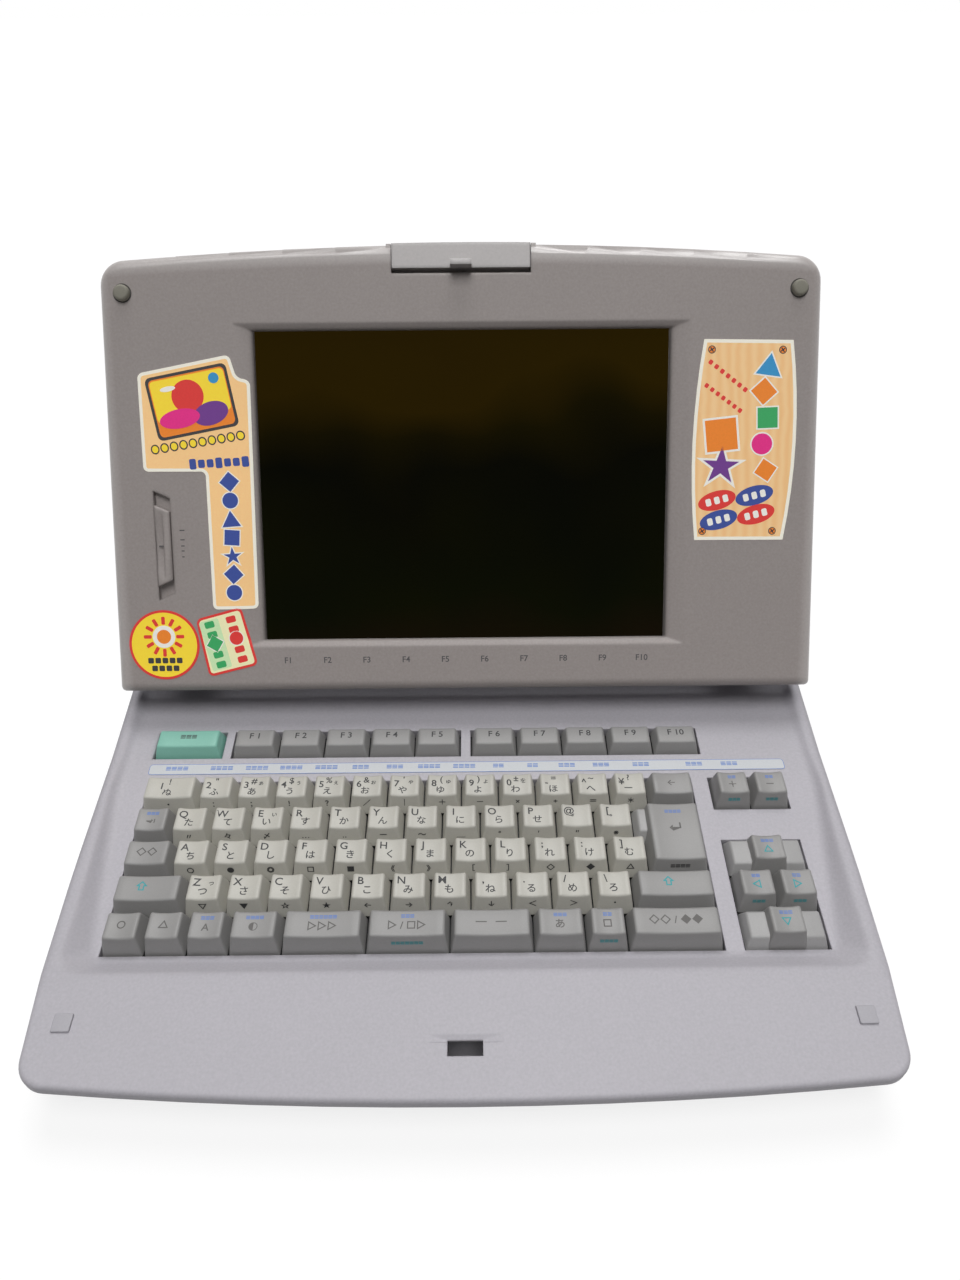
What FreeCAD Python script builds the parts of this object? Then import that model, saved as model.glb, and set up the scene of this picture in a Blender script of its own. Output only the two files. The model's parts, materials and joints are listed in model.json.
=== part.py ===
import FreeCAD, Part
import Sketcher
import math
import os
import re
from types import SimpleNamespace
from FreeCAD import Placement, Rotation, Vector

# Electronic word processor: a wedge-shaped desk machine with a sunk keyboard, a hinged
# screen lid and a thermal-transfer printer in the rear housing.  Millimetres and degrees.
#
# Three frames are used.
#   deck frame   X right, Y back, Z out of the sloping deck; zero in X is the middle of the
#                machine, zero in Y the front edge of the key well, zero in Z the deck plane.
#   lid frame    origin on the lid's hinge axis, Y up the lid, Z out of the screen face.
#   table frame  level with the table, zero in Z under the rubber feet.
# The finished machine stands on the table with the middle of its box over the origin.

DIMENSIONS = {
    # stance
    "deck_slope": (6, "slope of the deck above the table"),
    "deck_height": (31, "deck plane above the table at the front of the key well"),
    "foot_height": (3, "rubber foot below the case"),
    "foot_radius": (8, "rubber foot radius"),
    "foot_side": (32.6, "rubber feet inside the case side"),
    "foot_front": (30, "front feet ahead of the key well"),
    "foot_rear": (40, "rear feet ahead of the rear wall"),
    # case
    "wall": (2.5, "moulded wall of the case and lid shells"),
    "running_gap": (0.3, "gap between pieces that must not touch"),
    "deck_skin": (3, "thickness of the deck below its plane"),
    "parting_depth": (4, "depth of the seam between upper and lower case below the deck plane"),
    "side_rim_front": (16.9, "case outside the keys at the front corners"),
    "side_rim_knee": (20.6, "case outside the keys where its sides start to run back"),
    "side_rim_rear": (24.1, "case outside the keys from the hinge backwards"),
    "case_knee": (-12, "where along the deck the narrowing of the front part ends"),
    "front_sill": (9.4, "front corners of the case ahead of the closed lid's corners"),
    "front_bulge": (7.8, "how far the front edge bows out between its corners"),
    "front_corner_radius": (13, "front corner rounding in plan"),
    "rear_corner_radius": (9, "rear corner rounding in plan"),
    "front_taper": (16, "how far the case tucks in under the front edge"),
    "front_wall": (5.5, "upright part of the front edge below the palm rest"),
    "rim_height": (8, "palm rest above the deck plane"),
    "rim_rear_height": (2.5, "side rim above the deck plane beside the function keys"),
    "rim_edge_radius": (2.5, "rounding of the palm rest's outer edge"),
    "basin_margin": (2.5, "flat deck beside the key wells"),
    "basin_front_slope": (10, "length of the rise from the key well to the palm rest"),
    "basin_side_slope": (11, "length of the rise from the key well to the side rim"),
    "basin_rear_margin": (8, "side rim left beside the function keys"),
    "basin_knee": (90, "where along the deck the flat floor reaches its full width"),
    "basin_corner_radius": (14, "front corners of the basin"),
    "basin_foot_radius": (6.5, "rounding where the slopes leave the floor"),
    "housing_gap": (20.6, "front wall of the rear housing behind the hinge axis"),
    "housing_lean": (14, "how far that wall leans back, parallel to the open lid"),
    "rear_sill": (8, "rear wall of the housing behind the printer cover"),
    "screw_side": (10.6, "case screws inside the case side at the front corners"),
    "screw_front": (21, "front case screws behind the front corners"),
    "screw_rear": (14, "rear case screws ahead of the rear wall"),
    "screw_radius": (1.5, "case screw radius"),
    "screw_seat": (6, "seat of a case screw above the case bottom"),
    "housing_height": (38.7, "top of the rear housing above the deck plane"),
    "housing_knee": (13, "height where the front wall starts to lean"),
    "housing_rear_bevel": (7, "bevel along the rear top edge"),
    # keyboard
    "key_pitch": (19, "one key unit"),
    "key_gap": (0.9, "gap between neighbouring key skirts"),
    "key_top": (9.5, "top of the key caps above the deck plane"),
    "key_skirt": (2, "bottom of the key skirts below the deck plane"),
    "key_side_draft": (1.9, "side of the cap top inside its skirt"),
    "key_front_draft": (3.3, "front of the cap top behind its skirt"),
    "key_back_draft": (2.6, "back of the cap top ahead of its skirt"),
    "key_wall": (1.4, "wall of the hollow cap"),
    "key_stem": (5, "square stem under the cap"),
    "key_travel": (3.2, "travel of a key"),
    "shelf_height": (4.5, "low shelf beside the raised part of an arrow or return key"),
    "well_margin": (0.5, "well wall outside the outermost key cells"),
    "well_lip": (1.6, "thickness of the wall around each well"),
    "well_depth": (6, "depth of the wells below the deck plane"),
    "main_width_units": (14.75, "width of the main key block in units"),
    "cluster_start_units": (15.25, "left edge of the cursor block in units"),
    "cluster_width_units": (2, "width of the cursor block in units"),
    "function_front": (111.5, "front of the function keys"),
    "function_depth": (17, "depth of the function keys"),
    "function_top": (6, "top of the function keys above the deck plane"),
    "function_pitch": (24.3, "pitch of the function keys"),
    "function_first": (39.1, "left edge of the first function key, from the key block"),
    "function_second": (166.7, "left edge of the sixth function key, from the key block"),
    "menu_first": (-2.3, "left edge of the menu key, from the key block"),
    "menu_width": (36, "width of the menu key"),
    "strip_left": (2.4, "legend strip left of the key block"),
    "strip_length": (334, "length of the legend strip"),
    "strip_front": (100.5, "front edge of the legend strip"),
    "strip_depth": (6.7, "depth of the legend strip"),
    "strip_thickness": (0.3, "thickness of the legend strip"),
    "guide_thickness": (2, "plate that guides the key stems"),
    "guide_clearance": (0.3, "gap between a stem and its guide hole"),
    "switch_pitch": (8.5, "switch sheet below the guide plate"),
    "sheet_thickness": (1.5, "rubber switch sheet"),
    "backplate_thickness": (1, "steel plate under the switch sheet"),
    # palm rest
    "pad_side": (13.0, "stop pad from the case side at the front corners"),
    "pad_size": (9, "stop pad edge"),
    "pad_height": (1.2, "stop pad above the palm rest"),
    "slot_width": (14.6, "latch slot width"),
    "slot_depth": (6.7, "latch slot front to back"),
    "keeper_gauge": (1.5, "steel of the latch keeper"),
    # lid
    "hinge_behind_keys": (28.9, "hinge axis behind the function keys"),
    "closed_gap": (0.2, "bumpers above the stop pads when the lid is closed"),
    "lid_angle": (53.9, "open lid above the rearward direction of the deck"),
    "lid_face": (13.1, "screen face in front of the hinge axis"),
    "lid_back": (13.3, "rear shell behind the hinge axis, at the hinge"),
    "lid_back_top": (10.3, "rear shell behind the hinge axis, at the top"),
    "lid_parting": (1, "seam of the lid shells behind the hinge axis"),
    "lid_foot": (13.5, "bottom edge of the lid below the hinge axis"),
    "lid_foot_inset": (2.6, "bottom edge of the lid inside the case side"),
    "lid_head_inset": (5.5, "top corners of the lid inside the case side"),
    "lid_corner": (207, "top corners of the lid above the hinge axis"),
    "lid_crown": (214.5, "middle of the arched top above the hinge axis"),
    "lid_corner_radius": (13, "top corner rounding"),
    "lid_edge_radius": (5, "rounding of the face's outer edge"),
    "screen_width": (211.2, "visible width of the screen"),
    "screen_height": (158.4, "visible height of the screen"),
    "screen_foot": (14.2, "bottom of the screen above the hinge axis"),
    "recess_depth": (2.5, "screen behind the lid face"),
    "recess_side": (10.5, "width of the gentle slope beside the screen"),
    "recess_end": (3.6, "height of the steep slope above and below the screen"),
    "panel_thickness": (6, "liquid crystal panel with its backlight"),
    "panel_border": (14, "panel frame outside its visible area"),
    "bumper_outset": (2.8, "lid bumper outside the middle of its stop pad"),
    "bumper_drop": (15.7, "lid bumper below the lid's top corners"),
    "bumper_radius": (4, "lid bumper radius"),
    "bumper_height": (2.9, "lid bumper proud of the face"),
    "latch_width": (69.6, "latch bar width"),
    "latch_height": (12.1, "latch bar, from its lower edge to the lid's crown"),
    "latch_travel": (2, "travel of the latch bar"),
    "latch_thickness": (9, "latch bar front to back"),
    "hook_width": (10.6, "hook of the latch bar"),
    "hook_inset": (0.6, "hook above the lower edge of the latch bar"),
    "hook_length": (7.5, "hook proud of the lid face"),
    "contrast_offset": (156.8, "contrast slider left of the middle"),
    "contrast_rise": (64.4, "middle of the contrast slider above the hinge axis"),
    "contrast_end_gap": (1.25, "recess past each end of the slider's travel"),
    "contrast_slot_width": (8.4, "width of the slider's recess"),
    "contrast_slot_depth": (3, "depth of the slider's recess"),
    "contrast_knob_length": (42.5, "length of the slider knob"),
    "contrast_knob_width": (7.6, "width of the slider knob"),
    "contrast_knob_proud": (1.6, "knob proud of the lid face"),
    "contrast_travel": (6, "travel of the slider each way"),
    "sticker_thickness": (0.2, "paper stickers on the lid face"),
    "disc_radius": (18.3, "round sticker"),
    # hinge
    "hinge_side": (36, "middle of each hinge from the case side"),
    "hinge_width": (24, "width of each hinge knuckle"),
    "knuckle_radius": (8, "hinge knuckle radius"),
    "hinge_pin_radius": (3, "hinge pin radius"),
    "pin_clearance": (0.05, "running clearance of pins and shafts"),
    "arm_thickness": (10, "hinge arm thickness"),
    "pin_overhang": (7, "hinge pin past each side of its knuckle"),
    # printer
    "platen_behind": (47, "platen axis behind the housing's front wall"),
    "platen_depth": (18.7, "platen axis below the housing's roof"),
    "platen_radius": (8, "platen roller radius"),
    "platen_end_gap": (12, "platen roller short of each side plate"),
    "shaft_radius": (3, "platen shaft radius"),
    "frame_side": (43, "printer side plates from the case side"),
    "frame_thickness": (2, "printer frame sheet"),
    "frame_floor": (20, "printer frame floor below the deck plane"),
    "knob_radius": (12, "platen knob radius"),
    "knob_width": (10, "platen knob width"),
    "knob_inset": (1, "platen knob inside the case side"),
    "gear_module": (0.8, "module of the feed gears"),
    "platen_teeth": (36, "teeth of the platen gear"),
    "pinion_teeth": (12, "teeth of the feed motor's pinion"),
    "gear_width": (4, "face width of the feed gears"),
    "rail_ahead": (18, "carriage rail ahead of the platen axis"),
    "rail_drop": (16, "carriage rail below the platen axis"),
    "rail_radius": (3, "carriage rail radius"),
    "carriage_width": (40, "print carriage width"),
    "pulley_side": (23, "belt pulleys inside the side plates"),
    "pulley_ahead": (16.5, "belt pulleys ahead of the rail"),
    "pulley_radius": (6, "belt pulley radius"),
    "belt_width": (4, "drive belt width"),
    "belt_thickness": (1.2, "drive belt thickness"),
    "cover_side": (11, "ends of the printer cover inside the side plates"),
    "cover_ahead": (19, "front edge of the printer cover ahead of the platen axis"),
    "cover_behind": (21, "rear edge of the printer cover behind the platen axis"),
    "cover_gap": (0.6, "gap around the printer cover"),
    "cover_pin_radius": (1, "hinge pins of the printer cover"),
    "paper_slot": (5, "paper slot in the printer cover"),
    # electronics and drive bay
    "board_thickness": (1.6, "main board"),
    "chip_height": (2.8, "moulded packages on the main board"),
    "board_depth": (24.5, "underside of the main board below the deck plane"),
    "drive_length": (130, "floppy drive, side to side"),
    "drive_width": (101.6, "floppy drive, front to back"),
    "drive_height": (15, "floppy drive thickness"),
    "drive_front": (75, "front side of the floppy drive behind the front of the key well"),
    "drive_top": (17.3, "top of the floppy drive below the deck plane"),
    "slider_travel": (2, "travel of the power slider each way"),
}

# Lengths that follow from the ones above, so that what belongs together moves together.
FOLLOWS = {
    "block_half": "(cluster_start_units + cluster_width_units) * key_pitch / 2",
    "case_half_front": "block_half + side_rim_front",
    "case_half_knee": "block_half + side_rim_knee",
    "case_half_rear": "block_half + side_rim_rear",
    "hinge_back": "function_front + function_depth + hinge_behind_keys",
    "hinge_height": "rim_height + pad_height + closed_gap + bumper_height + lid_face",
    "hinge_offset": "case_half_rear - hinge_side",
    "lid_half_foot": "case_half_rear - lid_foot_inset",
    "lid_half_head": "case_half_rear - lid_head_inset",
    "latch_foot": "lid_crown - latch_height",
    "latch_gap": "latch_travel + 2 * running_gap",
    "hook_rise": "latch_foot + hook_inset",
    "bumper_rise": "lid_corner - bumper_drop",
    "case_front": "lid_corner - hinge_back + front_sill",
    "slot_front": "hook_rise - hinge_back",
    "pad_front": "bumper_rise - hinge_back",
    "pad_offset": "case_half_front - pad_side",
    "bumper_offset": "pad_offset + bumper_outset",
    "contrast_slot_length": "contrast_knob_length + 2 * contrast_travel + 2 * contrast_end_gap",
    "housing_front": "hinge_back + housing_gap",
    "platen_back": "housing_front + platen_behind",
    "platen_height": "housing_height - platen_depth",
    "cover_front": "platen_back - cover_ahead",
    "cover_back": "platen_back + cover_behind",
    "housing_rear": "cover_back + rear_sill",
    "frame_half_width": "case_half_rear - frame_side",
    "cover_half_width": "frame_half_width - cover_side",
    "platen_length": "2 * (frame_half_width - frame_thickness - platen_end_gap)",
    "rail_back": "platen_back - rail_ahead",
    "rail_height": "platen_height - rail_drop",
    "pulley_back": "rail_back - pulley_ahead",
    "pulley_offset": "frame_half_width - pulley_side",
}

doc = FreeCAD.newDocument("word_processor")
sheet = doc.addObject("Spreadsheet::Sheet", "Sizes")
for row, (alias, (value, meaning)) in enumerate(DIMENSIONS.items(), start=1):
    sheet.set("A%d" % row, meaning)
    sheet.set("B%d" % row, str(value))
    sheet.setAlias("B%d" % row, alias)
places = doc.addObject("Spreadsheet::Sheet", "Places")


def bound(text):
    """Put the right sheet's name before each alias in an expression."""
    def with_sheet(word):
        if word.group() in DIMENSIONS:
            return "Sizes." + word.group()
        return "Places." + word.group() if word.group() in FOLLOWS else word.group()
    return re.sub(r"[a-z_]+", with_sheet, text)


for row, (alias, formula) in enumerate(FOLLOWS.items(), start=1):
    places.setAlias("B%d" % row, alias)
    places.set("B%d" % row, "=" + bound(formula).replace("Places.", ""))
    doc.recompute()
size = SimpleNamespace(**{alias: float(getattr(sheet, alias)) for alias in DIMENSIONS})
for alias in FOLLOWS:
    setattr(size, alias, float(getattr(places, alias)))

X_AXIS = Vector(1, 0, 0)
Y_AXIS = Vector(0, 1, 0)
Z_AXIS = Vector(0, 0, 1)
CLEAR = size.running_gap
OVERSHOOT = 1                    # how far a cutting solid runs past the face it opens

DECK = Placement(Vector(0, 0, size.deck_height), Rotation(X_AXIS, size.deck_slope))
LID = DECK * Placement(Vector(0, size.hinge_back, size.hinge_height), Rotation(X_AXIS, size.lid_angle))
TABLE = Placement()

parts = []


# ---------------------------------------------------------------- helpers
def keep(obj, label, frame):
    """Name a finished sub-part and put it in its frame."""
    obj.Label = label
    obj.Placement = frame
    parts.append(obj)
    return obj


def feature(label, shape, frame):
    """A sub-part whose shape is worked out from the sheet in code."""
    obj = doc.addObject("Part::Feature", label)
    obj.Shape = shape
    return keep(obj, label, frame)


def bind(obj, **expressions):
    for name, text in expressions.items():
        obj.setExpression(name, bound(text))
    return obj


def bind_place(obj, x="0", y="0", z="0"):
    for axis, text in zip("xyz", (x, y, z)):
        obj.setExpression("Placement.Base." + axis, bound(text))
    return obj


def sheet_box(name, length, width, height, x, y, z):
    """Box with its low corner at x, y, z; every size is an expression on the sheet."""
    obj = doc.addObject("Part::Box", name)
    bind(obj, Length=length, Width=width, Height=height)
    return bind_place(obj, x, y, z)


def sheet_cylinder(name, radius, height, x, y, z, along="Z"):
    obj = doc.addObject("Part::Cylinder", name)
    turns = {"X": Rotation(Y_AXIS, 90), "Y": Rotation(X_AXIS, -90), "Z": Rotation()}
    obj.Placement = Placement(Vector(), turns[along])
    bind(obj, Radius=radius, Height=height)
    return bind_place(obj, x, y, z)


def group(label, members, frame):
    """Separate like solids that share one sub-part."""
    obj = doc.addObject("Part::Compound", label)
    obj.Links = members
    return keep(obj, label, frame)


def fused(label, members, frame):
    obj = doc.addObject("Part::MultiFuse", label)
    obj.Shapes = members
    return keep(obj, label, frame)


def new_body(label, frame):
    body = doc.addObject("PartDesign::Body", label)
    return keep(body, label, frame)


def new_sketch(body, role, name, x="0", y="0", z="0"):
    """Sketch on one of the body's own planes, moved by expressions."""
    plane = next(item for item in body.Origin.OriginFeatures if item.Role == role)
    sketch = body.newObject("Sketcher::SketchObject", name)
    sketch.AttachmentSupport = (plane, "")
    sketch.MapMode = "FlatFace"
    for axis, text in zip("xyz", (x, y, z)):
        sketch.setExpression("AttachmentOffset.Base." + axis, bound(text))
    return sketch


def rectangle(sketch, width, height):
    """Rectangle centred on the sketch's origin, its two sizes bound to the sheet."""
    corners = [Vector(-2, -1, 0), Vector(2, -1, 0), Vector(2, 1, 0), Vector(-2, 1, 0)]
    sides = [sketch.addGeometry(Part.LineSegment(corners[i], corners[(i + 1) % 4])) for i in range(4)]
    for i in range(4):
        sketch.addConstraint(Sketcher.Constraint("Coincident", sides[i], 2, sides[(i + 1) % 4], 1))
    for i in (0, 2):
        sketch.addConstraint(Sketcher.Constraint("Horizontal", sides[i]))
        sketch.addConstraint(Sketcher.Constraint("Vertical", sides[i + 1]))
    sketch.addConstraint(Sketcher.Constraint("Symmetric", sides[0], 1, sides[2], 1, -1, 1))
    across = sketch.addConstraint(Sketcher.Constraint("DistanceX", sides[0], 1, sides[0], 2, 4))
    upward = sketch.addConstraint(Sketcher.Constraint("DistanceY", sides[1], 1, sides[1], 2, 2))
    sketch.setExpression("Constraints[%d]" % across, bound(width))
    sketch.setExpression("Constraints[%d]" % upward, bound(height))
    return sketch


def circle(sketch, radius):
    ring = sketch.addGeometry(Part.Circle(Vector(), Z_AXIS, 5))
    sketch.addConstraint(Sketcher.Constraint("Coincident", ring, 3, -1, 1))
    reach = sketch.addConstraint(Sketcher.Constraint("Radius", ring, 5))
    sketch.setExpression("Constraints[%d]" % reach, bound(radius))
    return sketch


def pad(body, sketch, length):
    item = body.newObject("PartDesign::Pad", sketch.Name + "_pad")
    item.Profile = sketch
    item.setExpression("Length", bound(length))
    return item


def pocket(body, sketch, length, reverse=False):
    item = body.newObject("PartDesign::Pocket", sketch.Name + "_pocket")
    item.Profile = sketch
    item.Reversed = reverse
    item.setExpression("Length", bound(length))
    return item


def block(x0, x1, y0, y1, z0, z1):
    return Part.makeBox(x1 - x0, y1 - y0, z1 - z0, Vector(x0, y0, z0))


def rod(radius, start, end):
    start, end = Vector(*start), Vector(*end)
    return Part.makeCylinder(radius, (end - start).Length, start, end - start)


def flat(points):
    points = [Vector(*point) for point in points]
    return Part.makePolygon(points + points[:1])


def prism_x(points, x0, x1):
    """Outline in Y and Z drawn out along X."""
    return Part.Face(flat([(x0, y, z) for y, z in points])).extrude(Vector(x1 - x0, 0, 0))


def prism_z(points, z0, z1):
    """Outline in X and Y drawn out along Z."""
    return Part.Face(flat([(x, y, z0) for x, y in points])).extrude(Vector(0, 0, z1 - z0))


def loft(low, z0, high, z1):
    """Straight-sided solid between an outline at z0 and one at z1."""
    wires = [flat([(x, y, z0) for x, y in low]), flat([(x, y, z1) for x, y in high])]
    return Part.makeLoft(wires, True, True)


def corners(x0, x1, y0, y1):
    return [(x0, y0), (x1, y0), (x1, y1), (x0, y1)]


# ---------------------------------------------------------------- keyboard layout
UNIT = size.key_pitch
BLOCK_LEFT = -size.block_half
BLOCK_RIGHT = BLOCK_LEFT + size.main_width_units * UNIT
CLUSTER_LEFT = BLOCK_LEFT + size.cluster_start_units * UNIT
CLUSTER_RIGHT = CLUSTER_LEFT + size.cluster_width_units * UNIT
RETURN_LOW_UNITS = 13.25
RETURN_HIGH_UNITS = 13.0
# Key rows from the front, each key as (sub-part, width in units).
ROWS = [
    [("bottom_row_keys", 1)] * 3 + [("bottom_row_keys", 1.25)] + [("bottom_row_keys", 2)] * 2
    + [("space_key", 2), ("bottom_row_keys", 1.25), ("bottom_row_keys", 1), ("execute_key", 2.25)],
    [("left_shift_key", 1.75)] + [("lower_letter_keys", 1)] * 11 + [("right_shift_key", 2)],
    [("home_letter_keys", 1.25)] + [("home_letter_keys", 1)] * 12,
    [("upper_letter_keys", 1)] * 13,
    [("number_keys", 1.5)] + [("number_keys", 1)] * 12 + [("backspace_key", 1.25)],
]


def cap(x0, x1, y0, y1, top):
    """Hollow tapered key cap over the cell x0..x1, y0..y1."""
    half_gap = size.key_gap / 2
    x0, x1, y0, y1 = x0 + half_gap, x1 - half_gap, y0 + half_gap, y1 - half_gap
    side, front, back = size.key_side_draft, size.key_front_draft, size.key_back_draft
    low = -size.key_skirt
    outer = loft(corners(x0, x1, y0, y1), low, corners(x0 + side, x1 - side, y0 + front, y1 - back), top)
    wall = size.key_wall
    inner = loft(corners(x0 + wall, x1 - wall, y0 + wall, y1 - wall), low,
                 corners(x0 + side + wall, x1 - side - wall, y0 + front + wall, y1 - back - wall), top - wall)
    return outer.cut(inner)


def stem(x, y, top):
    """Square stem from the cap's ceiling down through the guide plate."""
    half = size.key_stem / 2
    foot = size.switch_pitch + size.well_depth - size.key_travel - CLEAR
    return block(x - half, x + half, y - half, y + half, -foot, top - size.key_wall)


key_shapes = {}
stem_places = []


def add_key(label, x0, x1, y0, y1, top, shape=None):
    body = shape if shape is not None else cap(x0, x1, y0, y1, top)
    place = ((x0 + x1) / 2, (y0 + y1) / 2)
    stem_places.append(place)
    key_shapes.setdefault(label, []).append(body.fuse(stem(place[0], place[1], top)).removeSplitter())


def shelf_key(label, x0, x1, y0, y1, raised_x0, raised_x1):
    """A key with a low shelf each side of its raised middle."""
    low = cap(x0, x1, y0, y1, size.shelf_height)
    opening = block(raised_x0 + size.key_wall * 2, raised_x1 - size.key_wall * 2,
                    y0 + size.key_wall * 4, y1 - size.key_wall * 4, -size.key_skirt, size.shelf_height)
    high = cap(raised_x0, raised_x1, y0, y1, size.key_top)
    add_key(label, x0, x1, y0, y1, size.key_top, low.cut(opening).fuse(high))


def lay_out_keys():
    for row, keys in enumerate(ROWS):
        left = BLOCK_LEFT
        for label, units in keys:
            add_key(label, left, left + units * UNIT, row * UNIT, (row + 1) * UNIT, size.key_top)
            left += units * UNIT
    low_left = BLOCK_LEFT + RETURN_LOW_UNITS * UNIT
    high_left = BLOCK_LEFT + RETURN_HIGH_UNITS * UNIT
    tall = cap(low_left, BLOCK_RIGHT, 2 * UNIT, 4 * UNIT, size.key_top)
    shelf = cap(high_left, BLOCK_RIGHT, 3 * UNIT, 4 * UNIT, size.shelf_height)
    shelf = shelf.cut(block(low_left + size.key_wall * 3, BLOCK_RIGHT, 2 * UNIT, 4 * UNIT, -UNIT, UNIT))
    add_key("return_key", low_left, BLOCK_RIGHT, 2 * UNIT, 4 * UNIT, size.key_top, tall.fuse(shelf))
    middle = (CLUSTER_LEFT + CLUSTER_RIGHT) / 2
    add_key("edit_keys", CLUSTER_LEFT, middle, 4 * UNIT, 5 * UNIT, size.key_top)
    add_key("edit_keys", middle, CLUSTER_RIGHT, 4 * UNIT, 5 * UNIT, size.key_top)
    raised = (middle - UNIT / 2, middle + UNIT / 2)
    shelf_key("up_key", CLUSTER_LEFT, CLUSTER_RIGHT, 2 * UNIT, 3 * UNIT, *raised)
    shelf_key("down_key", CLUSTER_LEFT, CLUSTER_RIGHT, 0, UNIT, *raised)
    add_key("left_key", CLUSTER_LEFT, middle, UNIT, 2 * UNIT, size.key_top)
    add_key("right_key", middle, CLUSTER_RIGHT, UNIT, 2 * UNIT, size.key_top)
    back = size.function_front + size.function_depth
    menu_left = BLOCK_LEFT + size.menu_first
    add_key("menu_key", menu_left, menu_left + size.menu_width, size.function_front, back, size.function_top)
    for first in (size.function_first, size.function_second):
        for place in range(5):
            left = BLOCK_LEFT + first + place * size.function_pitch
            add_key("function_keys", left, left + size.function_pitch, size.function_front, back,
                    size.function_top)


lay_out_keys()


def well_outlines():
    """The six openings of the deck, as x0, x1, y0, y1."""
    back = size.function_front + size.function_depth
    menu_left = BLOCK_LEFT + size.menu_first
    five = 5 * size.function_pitch
    first, second = BLOCK_LEFT + size.function_first, BLOCK_LEFT + size.function_second
    wells = [
        (BLOCK_LEFT, BLOCK_RIGHT, 0, 5 * UNIT),
        (CLUSTER_LEFT, CLUSTER_RIGHT, 4 * UNIT, 5 * UNIT),
        (CLUSTER_LEFT, CLUSTER_RIGHT, 0, 3 * UNIT),
        (menu_left, menu_left + size.menu_width, size.function_front, back),
        (first, first + five, size.function_front, back),
        (second, second + five, size.function_front, back),
    ]
    edge = size.well_margin
    return [(x0 - edge, x1 + edge, y0 - edge, y1 + edge) for x0, x1, y0, y1 in wells]


# ---------------------------------------------------------------- case shells
def table_z(y):
    """Deck-frame height of the table under the deck-frame place y."""
    slope = math.radians(size.deck_slope)
    return -(size.deck_height + y * math.sin(slope)) / math.cos(slope)


def case_bottom(y):
    """Deck-frame height of the case's flat bottom, which is level with the table."""
    return table_z(y) + size.foot_height / math.cos(math.radians(size.deck_slope))


def front_bow():
    """Arc of the front edge in plan."""
    front, narrow = -size.case_front, size.case_half_front
    return Part.Arc(Vector(-narrow, front, 0), Vector(0, front - size.front_bulge, 0), Vector(narrow, front, 0))


def rounded_outline():
    """Plan outline of the case as a face in the deck plane."""
    front, rear, hinge = -size.case_front, size.housing_rear, size.hinge_back
    narrow, middle, wide = size.case_half_front, size.case_half_knee, size.case_half_rear
    right = [(narrow, front), (middle, size.case_knee), (wide, hinge), (wide, rear)]
    left = [(-x, y) for x, y in reversed(right)]
    points = [Vector(x, y, 0) for x, y in right + left]
    edges = [front_bow().toShape()] + [Part.makeLine(a, b) for a, b in zip(points, points[1:])]
    solid = Part.Face(Part.Wire(edges)).extrude(Z_AXIS)
    for radius, near in ((size.front_corner_radius, front), (size.rear_corner_radius, rear)):
        upright = [edge for edge in solid.Edges if abs(edge.tangentAt(edge.FirstParameter).z) > 0.99
                   and abs(edge.CenterOfMass.y - near) < 1]
        solid = solid.makeFillet(radius, upright)
    return next(face for face in solid.Faces if abs(face.CenterOfMass.z) < 1e-6)


OUTLINE = rounded_outline()
INNER_OUTLINE = OUTLINE.makeOffset2D(-size.wall)


def slab(outline, z0, z1):
    return outline.translated(Vector(0, 0, z0)).extrude(Vector(0, 0, z1 - z0))


def tucked_slab(outline, z0, z1, inset):
    """Slab that tucks in under the front edge, drawn inwards by the wall."""
    top = size.rim_height - size.front_wall + inset / 2
    drop = top - case_bottom(-size.case_front)
    leaning = outline.translated(Vector(0, 0, top)).extrude(Vector(0, 3 * size.front_taper, -3 * drop))
    if z1 <= top:
        return leaning.common(slab(outline, z0, z1))
    return slab(outline, top, z1).fuse(leaning.common(slab(outline, z0, top))).removeSplitter()


def housing_profile(inset):
    """Side outline of the rear housing, drawn inwards by the wall."""
    front, rear, top = size.housing_front + inset, size.housing_rear - inset, size.housing_height - inset
    knee, lean, bevel = size.housing_knee - inset / 2, size.housing_lean, size.housing_rear_bevel
    return [(front, -size.parting_depth), (front, knee), (front + lean, top), (rear - bevel, top),
            (rear, top - bevel), (rear, -size.parting_depth)]


def basin():
    """Sunk key zone, flat behind the keys and rising to the palm rest and side rims."""
    side = -BLOCK_LEFT + size.basin_margin
    front = -size.basin_margin
    wide = size.case_half_rear - size.basin_rear_margin
    knee, rear = size.basin_knee, size.housing_front + OVERSHOOT
    slope, rise = size.basin_side_slope, size.basin_front_slope
    low = [(-side, front), (side, front), (wide, knee), (wide, rear), (-wide, rear), (-wide, knee)]
    out = size.basin_rear_margin - 2
    high = [(-side - slope, front - rise), (side + slope, front - rise), (wide + out, knee),
            (wide + out, rear), (-wide - out, rear), (-wide - out, knee)]
    space = loft(low, 0, high, size.rim_height)
    bends = [edge for edge in space.Edges if edge.BoundBox.ZLength > 1 and edge.BoundBox.YMax < rear - 1]
    space = space.makeFillet(size.basin_corner_radius, bends)
    foot = [edge for edge in space.Edges if edge.BoundBox.ZMax < 1e-3 and edge.BoundBox.YMin < rear - 1]
    return space.makeFillet(size.basin_foot_radius, foot)


def rim_wedge():
    """Space over the side rims, which fall away towards the hinge."""
    knee = size.basin_knee + 20
    ceiling = 2 * size.rim_height - size.rim_rear_height
    profile = [(-knee, ceiling), (knee, size.rim_rear_height), (size.housing_front, size.rim_rear_height),
               (size.housing_front, ceiling)]
    return prism_x(profile, -2 * size.case_half_rear, 2 * size.case_half_rear)


def screw_places():
    across = size.case_half_front - size.screw_side
    ahead, behind = size.screw_front - size.case_front, size.housing_rear - size.screw_rear
    return [(x, y) for x in (-across, across) for y in (ahead, behind)]


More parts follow.
